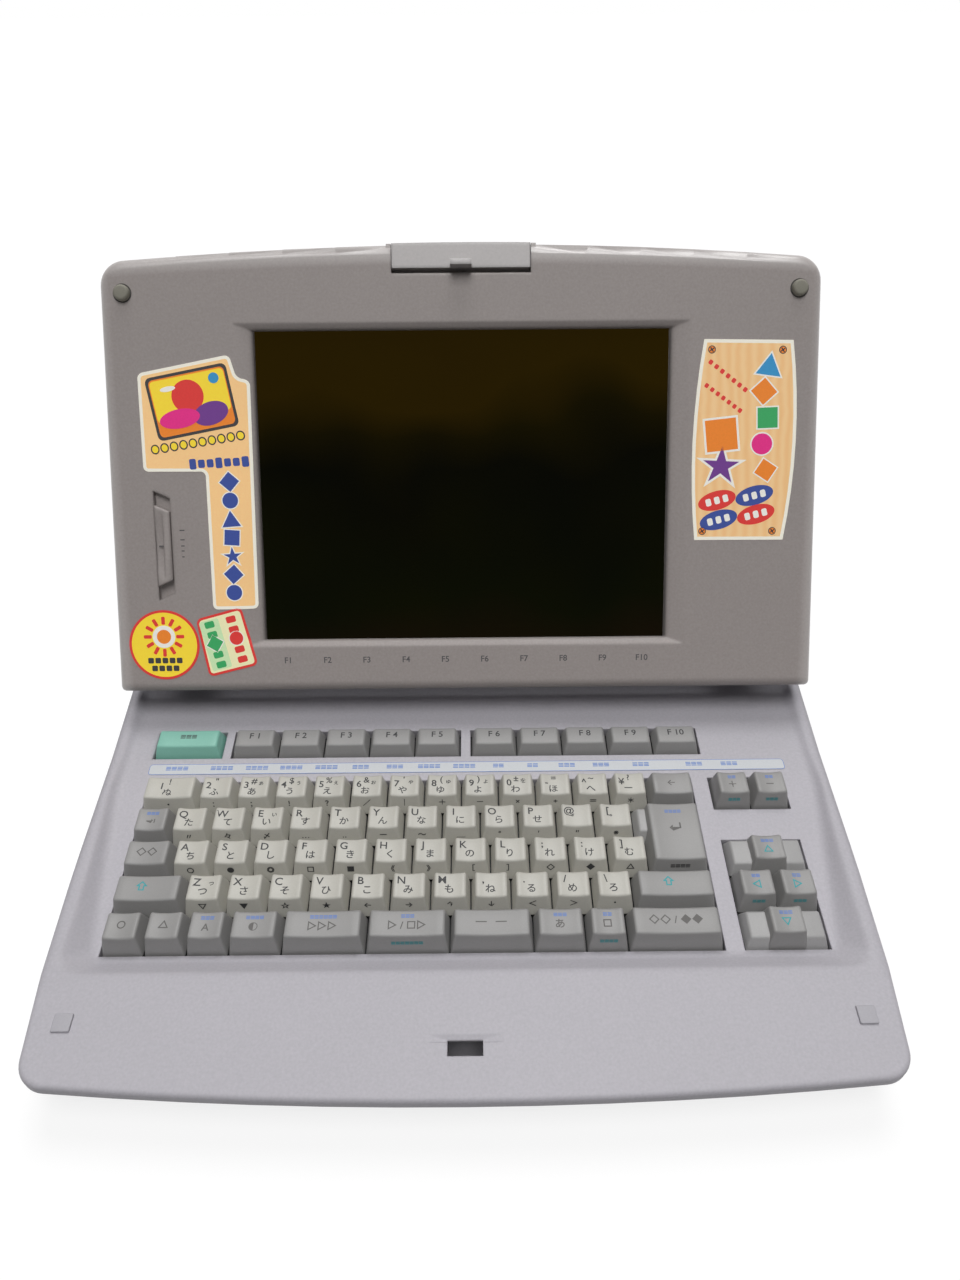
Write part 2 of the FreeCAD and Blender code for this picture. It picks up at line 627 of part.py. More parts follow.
COVER_AXIS_Y = size.cover_back - 1.5
COVER_AXIS_Z = size.housing_height - size.wall / 2
ARM_END = size.housing_front + size.housing_lean + size.wall + 3
NOTCH_FLOOR = size.case_half_rear - size.knob_inset - size.knob_width - 1.5
SCREW_RADIUS = size.screw_radius
BOSS_RADIUS = 3 * SCREW_RADIUS
HEAD_RADIUS = 2 * SCREW_RADIUS
HEAD_HEIGHT = 2.2
CASE_HALF = max(size.case_half_front, size.case_half_rear)


def upper_case():
    deck = tucked_slab(OUTLINE, -size.parting_depth, size.rim_height, 0)
    rim = [edge for edge in deck.Edges if abs(edge.CenterOfMass.z - size.rim_height) < 1e-6]
    deck = deck.makeFillet(size.rim_edge_radius, rim).cut(basin()).cut(rim_wedge())
    width = CASE_HALF
    housing = prism_x(housing_profile(0), -width, width)
    housing = housing.common(slab(OUTLINE, -size.parting_depth, size.housing_height))
    shell = deck.fuse(housing)
    palm_back = -size.basin_margin - size.basin_front_slope - size.wall
    palm = tucked_slab(INNER_OUTLINE, -size.parting_depth, size.rim_height - size.wall, size.wall)
    palm = palm.common(block(-width, width, -2 * width, palm_back, -size.parting_depth, size.rim_height))
    under = tucked_slab(INNER_OUTLINE, -size.parting_depth, -size.deck_skin, size.wall)
    bay = prism_x(housing_profile(size.wall), -width + size.wall, width - size.wall)
    bay = bay.common(slab(INNER_OUTLINE, -size.parting_depth, size.housing_height))
    shell = shell.cut(palm).cut(under).cut(bay)
    for x0, x1, y0, y1 in well_outlines():
        lip = size.well_lip
        shell = shell.fuse(block(x0 - lip, x1 + lip, y0 - lip, y1 + lip, -size.well_depth, -size.deck_skin / 2))
    for x0, x1, y0, y1 in well_outlines():
        shell = shell.cut(block(x0, x1, y0, y1, -size.well_depth - OVERSHOOT, size.rim_height))
    return shell_details(shell)


def shell_details(shell):
    """Bosses, hinge seats, latch slot, printer opening and knob notch."""
    for x, y in screw_places():
        top = size.rim_height - size.wall if y < 0 else size.housing_height - size.wall
        shell = shell.fuse(rod(BOSS_RADIUS, (x, y, -size.parting_depth), (x, y, top + 0.5)))
        shell = shell.cut(rod(SCREW_RADIUS, (x, y, -size.parting_depth - OVERSHOOT), (x, y, top - 2)))
    arm_low = size.hinge_height - size.arm_thickness / 2
    arm_high = size.hinge_height + size.arm_thickness / 2
    half = size.hinge_width / 2
    for side in (-1, 1):
        centre = side * size.hinge_offset
        seat = block(centre - half, centre + half, size.housing_front + 1, ARM_END,
                     -size.parting_depth, arm_low)
        window = block(centre - half - CLEAR, centre + half + CLEAR, size.housing_front - 1,
                       size.housing_front + size.housing_lean + size.wall, arm_low, arm_high + CLEAR)
        shell = shell.fuse(seat).cut(window)
    slot_y = -size.slot_front
    half_slot, half_depth = size.slot_width / 2, size.slot_depth / 2
    shell = shell.cut(block(-half_slot, half_slot, slot_y - half_depth, slot_y + half_depth,
                            0, size.rim_height + OVERSHOOT))
    scoop = loft(corners(-half_slot, half_slot, slot_y + half_depth - 1, slot_y + half_depth), size.rim_height - 1.2,
                 corners(-half_slot * 2.2, half_slot * 2.2, slot_y + half_depth - 1, slot_y + half_depth + 2.4),
                 size.rim_height + 0.01)
    shell = shell.cut(scoop)
    edge = size.cover_gap
    shell = shell.cut(block(-size.cover_half_width - edge, size.cover_half_width + edge, size.cover_front - edge,
                            size.cover_back + edge, size.housing_height - 2 * size.wall, size.housing_height + 1))
    for side in (-1, 1):
        inner = side * (size.cover_half_width + edge)
        ear = block(min(inner, inner + side * 5), max(inner, inner + side * 5), COVER_AXIS_Y - 4, COVER_AXIS_Y + 4,
                    COVER_AXIS_Z - 4, size.housing_height)
        hole = rod(size.cover_pin_radius + size.pin_clearance, (inner - side * 2, COVER_AXIS_Y, COVER_AXIS_Z),
                   (inner + side * 4, COVER_AXIS_Y, COVER_AXIS_Z))
        shell = shell.fuse(ear).cut(hole)
    notch = size.knob_radius + 2
    shell = shell.fuse(block(NOTCH_FLOOR - size.wall, size.case_half_rear, size.platen_back - notch - size.wall,
                             size.platen_back + notch + size.wall, size.platen_height - notch - size.wall,
                             size.housing_height))
    shell = shell.cut(block(NOTCH_FLOOR, size.case_half_rear + OVERSHOOT, size.platen_back - notch,
                            size.platen_back + notch, size.platen_height - notch, size.housing_height + OVERSHOOT))
    shell = shell.cut(rod(size.shaft_radius + 1, (NOTCH_FLOOR - 2 * size.wall, size.platen_back, size.platen_height),
                          (NOTCH_FLOOR + 1, size.platen_back, size.platen_height)))
    return shell.removeSplitter()


def lower_profile(inset):
    """Side outline of the lower case, drawn inwards by the wall."""
    front, rear = -size.case_front - size.front_bulge, size.housing_rear - inset
    heel = rear - 6
    return [(front, -size.parting_depth), (front, case_bottom(front) + inset),
            (heel, case_bottom(heel) + inset), (rear, case_bottom(heel) + inset + 6), (rear, -size.parting_depth)]


def lower_case():
    wide = CASE_HALF
    deep = case_bottom(size.housing_rear) - 5
    outer = tucked_slab(OUTLINE, deep, -size.parting_depth, 0)
    inner = tucked_slab(INNER_OUTLINE, deep, -size.parting_depth, size.wall)
    shell = outer.common(prism_x(lower_profile(0), -wide, wide))
    shell = shell.cut(inner.common(prism_x(lower_profile(size.wall), -wide, wide)))
    for x, y in screw_places():
        floor = case_bottom(y)
        shell = shell.fuse(rod(BOSS_RADIUS, (x, y, floor + 1), (x, y, -size.parting_depth)))
        shell = shell.cut(rod(SCREW_RADIUS + 0.2, (x, y, floor - 2), (x, y, 0)))
        shell = shell.cut(rod(HEAD_RADIUS + 0.4, (x, y, floor - 2), (x, y, floor + HEAD_SEAT)))
    for x, y in printer_post_places():
        shell = shell.fuse(rod(BOSS_RADIUS, (x, y, case_bottom(y) + 1), (x, y, -size.frame_floor)))
    for x, y in board_post_places():
        shell = shell.fuse(rod(BOSS_RADIUS - 1, (x, y, case_bottom(y) + 1), (x, y, -size.board_depth)))
    for x, y in supply_post_places() + drive_post_places():
        top = SUPPLY_FLOOR if y > size.housing_front else -size.drive_top - size.drive_height
        shell = shell.fuse(rod(BOSS_RADIUS, (x, y, case_bottom(y) + 1), (x, y, top)))
    return cut_side_openings(shell).removeSplitter()


HEAD_SEAT = size.screw_seat


def printer_post_places():
    across = size.frame_half_width - 35
    return [(x, y) for x in (-across, across) for y in (size.platen_back - 27, size.platen_back + 13)]


def board_post_places():
    return [(x, y) for x in (BOARD_LEFT + 8, BOARD_RIGHT - 8) for y in (BOARD_FRONT + 8, BOARD_BACK - 8)]


def supply_post_places():
    return [(x, y) for x in (SUPPLY_LEFT + 8, SUPPLY_RIGHT - 8) for y in (SUPPLY_FRONT + 6, SUPPLY_BACK - 6)]


def drive_post_places():
    return [(x, y) for x in (DRIVE_LEFT + 12, DRIVE_RIGHT - 24) for y in (size.drive_front + 8, DRIVE_BACK - 8)]


DRIVE_RIGHT = size.case_half_rear - 0.4
DRIVE_LEFT = DRIVE_RIGHT - size.drive_length
DRIVE_BACK = size.drive_front + size.drive_width
BOARD_LEFT = 8 - size.case_half_front
BOARD_RIGHT = DRIVE_LEFT - 17.6
BOARD_FRONT = 6
BOARD_BACK = size.housing_front - 10
SUPPLY_LEFT, SUPPLY_RIGHT = -98, 0
SUPPLY_FRONT, SUPPLY_BACK = size.platen_back - 39, size.platen_back + 7
SUPPLY_ROOF = -size.frame_floor - 3
SUPPLY_FLOOR = SUPPLY_ROOF - 20
INLET_WIDTH, INLET_HEIGHT, INLET_DEPTH = 22, 16, 18
INLET_X = 48 - size.case_half_rear
INLET_LEVEL = -size.frame_floor - 11
SLIDER_Y = size.platen_back - 13
SLIDER_WIDTH, SLIDER_HEIGHT = 9, 5
SLIDER_LEVEL = -size.frame_floor - 2


def cut_side_openings(shell):
    """Openings for the floppy drive, the power rocker and the rear sockets."""
    wide, rear = size.case_half_rear, size.housing_rear
    top = -size.drive_top
    shell = shell.cut(block(wide - 12, wide + 1, size.drive_front - CLEAR, DRIVE_BACK + CLEAR,
                            top - size.drive_height - CLEAR, top + CLEAR))
    reach = SLIDER_WIDTH / 2 + size.slider_travel + CLEAR
    shell = shell.cut(block(-wide - 1, -wide + 4, SLIDER_Y - reach, SLIDER_Y + reach,
                            SLIDER_LEVEL - SLIDER_HEIGHT / 2 - CLEAR, SLIDER_LEVEL + SLIDER_HEIGHT / 2 + CLEAR))
    return shell.cut(block(INLET_X - INLET_WIDTH / 2, INLET_X + INLET_WIDTH / 2, rear - 4, rear + 1,
                           INLET_LEVEL - INLET_HEIGHT / 2, INLET_LEVEL + INLET_HEIGHT / 2))


feature("upper_case", upper_case(), DECK)
feature("lower_case", lower_case(), DECK)


# ---------------------------------------------------------------- keys
for key_label, solids in key_shapes.items():
    feature(key_label, Part.makeCompound(solids) if len(solids) > 1 else solids[0], DECK)


# ---------------------------------------------------------------- keyboard carrier
GUIDE_LEFT = BLOCK_LEFT + size.menu_first - size.well_margin - size.well_lip
GUIDE_RIGHT = CLUSTER_RIGHT + size.well_margin + size.well_lip
GUIDE_FRONT = -size.well_margin - size.well_lip
GUIDE_BACK = size.function_front + size.function_depth + size.well_margin + size.well_lip


def key_guide():
    """Plate with a square hole for each key stem and a rim that stands on the switch sheet."""
    top = -size.well_depth
    foot = top - size.switch_pitch
    plate = block(GUIDE_LEFT, GUIDE_RIGHT, GUIDE_FRONT, GUIDE_BACK, foot, top)
    rim = size.guide_thickness
    plate = plate.cut(block(GUIDE_LEFT + rim, GUIDE_RIGHT - rim, GUIDE_FRONT + rim, GUIDE_BACK - rim,
                            foot, top - size.guide_thickness))
    half = size.key_stem / 2 + size.guide_clearance
    holes = [block(x - half, x + half, y - half, y + half, foot, top + OVERSHOOT) for x, y in stem_places]
    return plate.cut(Part.makeCompound(holes))


def guide_sheet(label, thickness, depth):
    """Flat layer of the keyboard, as large as the guide plate, its top at the given depth."""
    body = new_body(label, DECK)
    sketch = new_sketch(body, "XY_Plane", label + "_outline", x="menu_first / 2",
                        y="(function_front + function_depth) / 2", z="0 - (%s) - %s" % (depth, thickness))
    rectangle(sketch, GUIDE_WIDTH, GUIDE_DEPTH)
    pad(body, sketch, thickness)


GUIDE_WIDTH = "2 * block_half - menu_first + 2 * (well_margin + well_lip)"
GUIDE_DEPTH = "function_front + function_depth + 2 * (well_margin + well_lip)"

feature("key_guide", key_guide(), DECK)
guide_sheet("switch_sheet", "sheet_thickness", "well_depth + switch_pitch")
guide_sheet("keyboard_backplate", "backplate_thickness", "well_depth + switch_pitch + sheet_thickness")


# ---------------------------------------------------------------- small pieces on the deck
def legend_strip():
    body = new_body("legend_strip", DECK)
    sketch = new_sketch(body, "XY_Plane", "strip_outline", x="strip_length / 2 - block_half - strip_left",
                        y="strip_front + strip_depth / 2")
    rectangle(sketch, "strip_length", "strip_depth")
    pad(body, sketch, "strip_thickness")


def stop_pads():
    pads = []
    for name, side in (("left_pad", "0 - pad_offset"), ("right_pad", "pad_offset")):
        pads.append(sheet_box(name, "pad_size", "pad_size", "pad_height", side + " - pad_size / 2",
                              "0 - pad_front - pad_size / 2", "rim_height"))
    group("stop_pads", pads, DECK)


def latch_keeper():
    """Bent steel catch under the palm rest, in front of the latch slot."""
    edge = "0 - slot_front - slot_depth / 2 - running_gap"
    flange = sheet_box("keeper_flange", "slot_width + 8", "6", "keeper_gauge", "0 - slot_width / 2 - 4",
                       edge + " - 6", "rim_height - wall - keeper_gauge")
    lip = sheet_box("keeper_lip", "slot_width + 4", "1", "6", "0 - slot_width / 2 - 2",
                    edge + " - 1", "rim_height - wall - 6")
    fused("latch_keeper", [flange, lip], DECK)


def rubber_feet():
    feet = []
    for side, across in (("left", "foot_side - case_half_front"), ("right", "case_half_front - foot_side")):
        for end, back in (("front", "0 - foot_front"), ("rear", "housing_rear - foot_rear")):
            feet.append(sheet_cylinder("%s_%s_foot" % (end, side), "foot_radius", "foot_height",
                                       across, back, "0"))
    group("rubber_feet", feet, TABLE)


def case_screws():
    """Self-tapping screws that hold the two case shells together, put in from below."""
    screws = []
    for x, y in screw_places():
        seat = case_bottom(y) + HEAD_SEAT
        head = rod(HEAD_RADIUS, (x, y, seat - HEAD_HEIGHT), (x, y, seat))
        shank = rod(SCREW_RADIUS, (x, y, seat - 0.5), (x, y, -size.parting_depth + 7))
        cross = [block(x - 1.6, x + 1.6, y - 0.4, y + 0.4, seat - HEAD_HEIGHT - 1, seat - HEAD_HEIGHT + 1),
                 block(x - 0.4, x + 0.4, y - 1.6, y + 1.6, seat - HEAD_HEIGHT - 1, seat - HEAD_HEIGHT + 1)]
        screws.append(head.fuse(shank).cut(Part.makeCompound(cross)))
    return Part.makeCompound(screws)


legend_strip()
stop_pads()
latch_keeper()
rubber_feet()
feature("case_screws", case_screws(), DECK)


# ---------------------------------------------------------------- electronics and drive
def main_board():
    body = new_body("main_board", DECK)
    sketch = new_sketch(body, "XY_Plane", "board_outline", x=str((BOARD_LEFT + BOARD_RIGHT) / 2),
                        y=str((BOARD_FRONT + BOARD_BACK) / 2), z="0 - board_depth")
    rectangle(sketch, str(BOARD_RIGHT - BOARD_LEFT), str(BOARD_BACK - BOARD_FRONT))
    pad(body, sketch, "board_thickness")


def board_chips():
    """Processor, memory, character ROM and their neighbours, soldered to the board."""
    chips = []
    packages = [("processor", 28, 28, 66, 64), ("screen_driver", 24, 24, 116, 104),
                ("font_memory", 36, 14, 46, 114), ("work_memory", 28, 11, 106, 54),
                ("program_memory", 28, 11, 106, 34), ("printer_driver", 18, 10, 176, 134)]
    for name, length, width, across, back in packages:
        chips.append(sheet_box(name, str(length), str(width), "chip_height", str(BOARD_LEFT + across),
                               str(BOARD_FRONT + back), "board_thickness - board_depth"))
    group("board_chips", chips, DECK)


def power_supply():
    """Screened mains supply with a row of cooling slots in its roof."""
    case = block(SUPPLY_LEFT, SUPPLY_RIGHT, SUPPLY_FRONT, SUPPLY_BACK, SUPPLY_FLOOR, SUPPLY_ROOF)
    slots = [block(x, x + 2, SUPPLY_FRONT + 6, SUPPLY_BACK - 6, SUPPLY_ROOF - 3, SUPPLY_ROOF + 1)
             for x in range(SUPPLY_LEFT + 6, SUPPLY_RIGHT - 6, 6)]
    return case.cut(Part.makeCompound(slots))


def power_inlet():
    """Two-pin appliance inlet in the rear wall, open towards the back."""
    rear = size.housing_rear
    x0, x1 = INLET_X - INLET_WIDTH / 2 + CLEAR, INLET_X + INLET_WIDTH / 2 - CLEAR
    z0, z1 = INLET_LEVEL - INLET_HEIGHT / 2 + CLEAR, INLET_LEVEL + INLET_HEIGHT / 2 - CLEAR
    body = block(x0, x1, rear - INLET_DEPTH, rear, z0, z1)
    flange = block(x0 - 2, x1 + 2, rear - size.wall - 1.5, rear - size.wall, z0 - 2, z1 + 2)
    socket = block(x0 + 2, x1 - 2, rear - 12, rear + 1, z0 + 2.5, z1 - 2.5)
    pins = [rod(1.2, (INLET_X + side * 4, rear - 13, INLET_LEVEL), (INLET_X + side * 4, rear - 3, INLET_LEVEL))
            for side in (-1, 1)]
    return body.fuse(flange).cut(socket).fuse(pins[0]).fuse(pins[1])


def power_slider():
    """Thumb piece of the power switch, trapped in its slot in the left side wall."""
    wall_face = -size.case_half_rear
    half, low = SLIDER_WIDTH / 2, SLIDER_LEVEL - SLIDER_HEIGHT / 2
    high = SLIDER_LEVEL + SLIDER_HEIGHT / 2
    thumb = block(wall_face - 1.5, wall_face + size.wall + CLEAR, SLIDER_Y - half, SLIDER_Y + half, low, high)
    flange = block(wall_face + size.wall + CLEAR, wall_face + size.wall + CLEAR + 1.5, SLIDER_Y - half - 5,
                   SLIDER_Y + half + 5, low - 2, high + 2)
    return thumb.fuse(flange)


BUTTON_Y = DRIVE_BACK - 16
BUTTON_LEVEL = -size.drive_top - size.drive_height + 4.5


def floppy_drive():
    """3.5-inch drive with its slot and eject button in the right side of the case."""
    top, low = -size.drive_top, -size.drive_top - size.drive_height
    body = block(DRIVE_LEFT, DRIVE_RIGHT, size.drive_front, DRIVE_BACK, low, top)
    slot = block(DRIVE_LEFT + 20, DRIVE_RIGHT + 1, size.drive_front + 4, DRIVE_BACK - 4, top - 6.5, top - 2)
    thumb = block(DRIVE_RIGHT - 3, DRIVE_RIGHT + 1, size.drive_front + 38, DRIVE_BACK - 38, top - 9, top - 1.2)
    well = block(DRIVE_RIGHT - 16, DRIVE_RIGHT + 1, BUTTON_Y - 5 - CLEAR, BUTTON_Y + 5 + CLEAR,
                 BUTTON_LEVEL - 2 - CLEAR, BUTTON_LEVEL + 2 + CLEAR)
    return body.cut(slot).cut(thumb).cut(well)


def eject_button():
    return block(DRIVE_RIGHT - 12, DRIVE_RIGHT + 2.5, BUTTON_Y - 5, BUTTON_Y + 5, BUTTON_LEVEL - 2,
                 BUTTON_LEVEL + 2)


main_board()
board_chips()
feature("power_supply", power_supply(), DECK)
feature("power_inlet", power_inlet(), DECK)
feature("power_slider", power_slider(), DECK)
feature("floppy_drive", floppy_drive(), DECK)
feature("eject_button", eject_button(), DECK)


# ---------------------------------------------------------------- printer
PLATEN_Y, PLATEN_Z = size.platen_back, size.platen_height
GEAR_SPACING = size.gear_module * (size.platen_teeth + size.pinion_teeth) / 2
MOTOR_Z = PLATEN_Z - GEAR_SPACING
GEAR_LEFT = size.frame_half_width + 3
GEAR_RIGHT = GEAR_LEFT + size.gear_width


def gear(teeth, height, first_tooth, bore):
    """Straight-flanked feed gear on an axis along X; first_tooth is in teeth from +Y."""
    pitch_radius = size.gear_module * teeth / 2
    tip, root = pitch_radius + 0.85 * size.gear_module, pitch_radius - 1.15 * size.gear_module
    step = 2 * math.pi / teeth
    points = []
    for tooth in range(int(teeth)):
        for radius, share in ((root, -0.30), (tip, -0.11), (tip, 0.11), (root, 0.30)):
            angle = (first_tooth + tooth + share) * step
            points.append((PLATEN_Y + radius * math.cos(angle), height + radius * math.sin(angle)))
    wheel = prism_x(points, GEAR_LEFT, GEAR_RIGHT)
    return wheel.cut(rod(bore, (GEAR_LEFT - 1, PLATEN_Y, height), (GEAR_RIGHT + 1, PLATEN_Y, height)))


def printer_frame():
    """Bent sheet chassis: a floor and two side plates with the bearing holes."""
    half, sheet_gauge = size.frame_half_width, size.frame_thickness
    front = size.housing_front + size.wall + 1
    back = size.housing_rear - 9
    step = ARM_END + size.frame_thickness + 0.5
    floor_low, floor_high = -size.frame_floor, -size.frame_floor + sheet_gauge
    narrow = size.hinge_offset - size.hinge_width / 2 - 2
    outline = [(-narrow, front), (narrow, front), (narrow, step), (half, step), (half, back), (-half, back),
               (-half, step), (-narrow, step)]
    frame = prism_z(outline, floor_low, floor_high)
    for side in (-1, 1):
        x0, x1 = sorted((side * half, side * (half - sheet_gauge)))
        frame = frame.fuse(block(x0, x1, step, back, floor_low, PLATEN_Z + 10))
    bearing = size.shaft_radius + size.pin_clearance
    frame = frame.cut(rod(bearing, (-half - 1, PLATEN_Y, PLATEN_Z), (half + 1, PLATEN_Y, PLATEN_Z)))
    frame = frame.cut(rod(size.rail_radius, (-half - 1, size.rail_back, size.rail_height),
                          (half + 1, size.rail_back, size.rail_height)))
    frame = frame.cut(rod(3, (half - 4, PLATEN_Y, MOTOR_Z), (half + 1, PLATEN_Y, MOTOR_Z)))
    stud = rod(1.5, (size.pulley_offset, size.pulley_back, floor_low + 1),
               (size.pulley_offset, size.pulley_back, PULLEY_TOP + 1))
    collar = rod(3, (size.pulley_offset, size.pulley_back, floor_low + 1),
                 (size.pulley_offset, size.pulley_back, PULLEY_LOW - CLEAR))
    return frame.fuse(stud).fuse(collar).removeSplitter()


BELT_LOW = size.rail_height
BELT_HIGH = BELT_LOW + size.belt_width
PULLEY_LOW, PULLEY_TOP = BELT_LOW - 1.5, BELT_HIGH + 1.5
CARRIAGE_MOTOR_TOP = PULLEY_LOW - 1
SHAFT_END = CARRIAGE_MOTOR_TOP - 7.5


def drive_belt():
    """Endless belt around the two pulleys."""
    def loop(radius):
        along = block(-size.pulley_offset, size.pulley_offset, size.pulley_back - radius,
                      size.pulley_back + radius, BELT_LOW, BELT_HIGH)
        for side in (-1, 1):
            x = side * size.pulley_offset
            along = along.fuse(rod(radius, (x, size.pulley_back, BELT_LOW), (x, size.pulley_back, BELT_HIGH)))
        return along
    inner = size.pulley_radius + size.pin_clearance * 2
    return loop(inner + size.belt_thickness).cut(loop(inner))


def pulley(x, bore_from, bore_to, shaft):
    """Flanged pulley; the driven one carries its motor's shaft, the idler turns on a stud."""
    y = size.pulley_back
    body = rod(size.pulley_radius, (x, y, PULLEY_LOW), (x, y, PULLEY_TOP))
    flange = size.pulley_radius + size.belt_thickness
    body = body.fuse(rod(flange, (x, y, PULLEY_LOW), (x, y, BELT_LOW - CLEAR)))
    body = body.fuse(rod(flange, (x, y, BELT_HIGH + CLEAR), (x, y, PULLEY_TOP)))
    if shaft:
        return body.fuse(rod(1, (x, y, bore_from), (x, y, bore_to)))
    return body.cut(rod(1.5 + size.pin_clearance, (x, y, bore_from), (x, y, bore_to)))


def carriage_motor():
    x, y, floor = -size.pulley_offset, size.pulley_back, -size.frame_floor + size.frame_thickness
    body = rod(8.5, (x, y, floor), (x, y, CARRIAGE_MOTOR_TOP))
    return body.cut(rod(1 + size.pin_clearance, (x, y, SHAFT_END - 1), (x, y, PULLEY_LOW)))


def feed_motor():
    inside = size.frame_half_width - size.frame_thickness
    body = rod(11, (inside - 12, PLATEN_Y, MOTOR_Z), (inside, PLATEN_Y, MOTOR_Z))
    return body.cut(rod(1 + size.pin_clearance, (inside - 9, PLATEN_Y, MOTOR_Z), (inside + 1, PLATEN_Y, MOTOR_Z)))


def motor_pinion():
    """Small gear with its shaft, in mesh below the platen gear."""
    wheel = gear(size.pinion_teeth, MOTOR_Z, size.pinion_teeth / 4 + 0.5, 0.9)
    inside = size.frame_half_width - size.frame_thickness
    return wheel.fuse(rod(1, (inside - 8, PLATEN_Y, MOTOR_Z), (GEAR_RIGHT, PLATEN_Y, MOTOR_Z)))


def platen_roller():
    body = new_body("platen_roller", DECK)
    sketch = new_sketch(body, "YZ_Plane", "roller_section", x="platen_back", y="platen_height",
                        z="0 - platen_length / 2")
    circle(sketch, "platen_radius")
    pad(body, sketch, "platen_length")
    bore = new_sketch(body, "YZ_Plane", "roller_bore", x="platen_back", y="platen_height",
                      z="platen_length / 2 + 1")
    circle(bore, "shaft_radius")
    pocket(body, bore, "platen_length + 2")


KNOB_LEFT = NOTCH_FLOOR + 1
KNOB_RIGHT = KNOB_LEFT + size.knob_width


def platen_shaft():
    left = -size.frame_half_width - 3
    return rod(size.shaft_radius, (left, PLATEN_Y, PLATEN_Z), (KNOB_RIGHT - 3, PLATEN_Y, PLATEN_Z))


def platen_knob():
    """Ribbed hand knob on the end of the platen shaft."""
    knob = rod(size.knob_radius, (KNOB_LEFT, PLATEN_Y, PLATEN_Z), (KNOB_RIGHT, PLATEN_Y, PLATEN_Z))
    grooves = []
    for turn in range(24):
        angle = 2 * math.pi * turn / 24
        y = PLATEN_Y + (size.knob_radius + 0.5) * math.cos(angle)
        z = PLATEN_Z + (size.knob_radius + 0.5) * math.sin(angle)
        grooves.append(rod(1, (KNOB_LEFT - 1, y, z), (KNOB_RIGHT - 1.5, y, z)))
    bore = rod(size.shaft_radius, (KNOB_LEFT - 1, PLATEN_Y, PLATEN_Z), (KNOB_RIGHT - 3, PLATEN_Y, PLATEN_Z))
    return knob.cut(Part.makeCompound(grooves)).cut(bore)


CARRIAGE_FRONT = size.rail_back - 8
CARRIAGE_BACK = size.rail_back + 6
CARRIAGE_TOP = size.platen_height + 6


def print_carriage():
    half = size.carriage_width / 2
    body = block(-half, half, CARRIAGE_FRONT, CARRIAGE_BACK, size.rail_height - 6, CARRIAGE_TOP)
    belt_back = size.pulley_back + size.pulley_radius + size.pin_clearance * 2 + size.belt_thickness
    clamp = block(-6, 6, belt_back + CLEAR, CARRIAGE_FRONT + 1, BELT_LOW, BELT_HIGH)
    bore = rod(size.rail_radius + size.pin_clearance, (-half - 1, size.rail_back, size.rail_height),
               (half + 1, size.rail_back, size.rail_height))
    return body.fuse(clamp).cut(bore)


def print_head():
    reach = PLATEN_Y - size.platen_radius - 2 * CLEAR
    return block(-9, 9, CARRIAGE_BACK, reach, PLATEN_Z - 5, PLATEN_Z + 5)


def ribbon_cassette():
    shell = block(-28, 28, CARRIAGE_FRONT - 0.5, CARRIAGE_BACK, CARRIAGE_TOP, CARRIAGE_TOP + 7)
    hubs = [rod(3, (x, CARRIAGE_FRONT + 6, CARRIAGE_TOP + 3), (x, CARRIAGE_FRONT + 6, CARRIAGE_TOP + 8))
            for x in (-16, 16)]
    return shell.cut(Part.makeCompound(hubs))


def printer_cover():
    """Flap over the printer, with the paper slot and a hinge pin at each rear corner."""
    top, low = size.housing_height, size.housing_height - size.wall
    half = size.cover_half_width
    panel = block(-half, half, size.cover_front, size.cover_back, low, top)
    slot = block(-half + 3, half - 3, PLATEN_Y - size.paper_slot / 2, PLATEN_Y + size.paper_slot / 2,
                 low - 1, top + 1)
    pins = rod(size.cover_pin_radius, (-half - 3, COVER_AXIS_Y, COVER_AXIS_Z), (half + 3, COVER_AXIS_Y, COVER_AXIS_Z))
    return panel.cut(slot).fuse(pins)


feature("printer_frame", printer_frame(), DECK)
feature("platen_shaft", platen_shaft(), DECK)
platen_roller()
feature("platen_gear", gear(size.platen_teeth, PLATEN_Z, -size.platen_teeth / 4, size.shaft_radius), DECK)
feature("platen_knob", platen_knob(), DECK)
feature("feed_motor", feed_motor(), DECK)
feature("motor_pinion", motor_pinion(), DECK)
feature("carriage_rail", rod(size.rail_radius, (-size.frame_half_width, size.rail_back, size.rail_height),
                             (size.frame_half_width, size.rail_back, size.rail_height)), DECK)
feature("print_carriage", print_carriage(), DECK)
feature("print_head", print_head(), DECK)
feature("ribbon_cassette", ribbon_cassette(), DECK)
feature("drive_belt", drive_belt(), DECK)
feature("drive_pulley", pulley(-size.pulley_offset, SHAFT_END, PULLEY_TOP + 1, True), DECK)
feature("idler_pulley", pulley(size.pulley_offset, PULLEY_LOW - 1, PULLEY_TOP + 1, False), DECK)
feature("carriage_motor", carriage_motor(), DECK)
feature("printer_cover", printer_cover(), DECK)


# ---------------------------------------------------------------- hinge
def hinge_brackets():
    """Steel arms from the rear housing, each ending in a knuckle on the lid's axis."""
    brackets = []
    half = size.hinge_width / 2
    y, z = size.hinge_back, size.hinge_height
    for side in (-1, 1):
        x0, x1 = side * size.hinge_offset - half, side * size.hinge_offset + half
        arm = block(x0, x1, y, ARM_END + 2, z - size.arm_thickness / 2, z + size.arm_thickness / 2)
        foot = block(x0, x1, ARM_END, ARM_END + 2, z - 20, z)
        knuckle = rod(size.knuckle_radius, (x0, y, z), (x1, y, z))
        bore = rod(size.hinge_pin_radius + size.pin_clearance, (x0 - 1, y, z), (x1 + 1, y, z))
        brackets.append(arm.fuse(foot).fuse(knuckle).cut(bore).removeSplitter())
    return Part.makeCompound(brackets)


def hinge_pins():
    reach = size.hinge_width / 2 + size.pin_overhang
    return Part.makeCompound([rod(size.hinge_pin_radius, (side * size.hinge_offset - reach, 0, 0),
                                  (side * size.hinge_offset + reach, 0, 0)) for side in (-1, 1)])


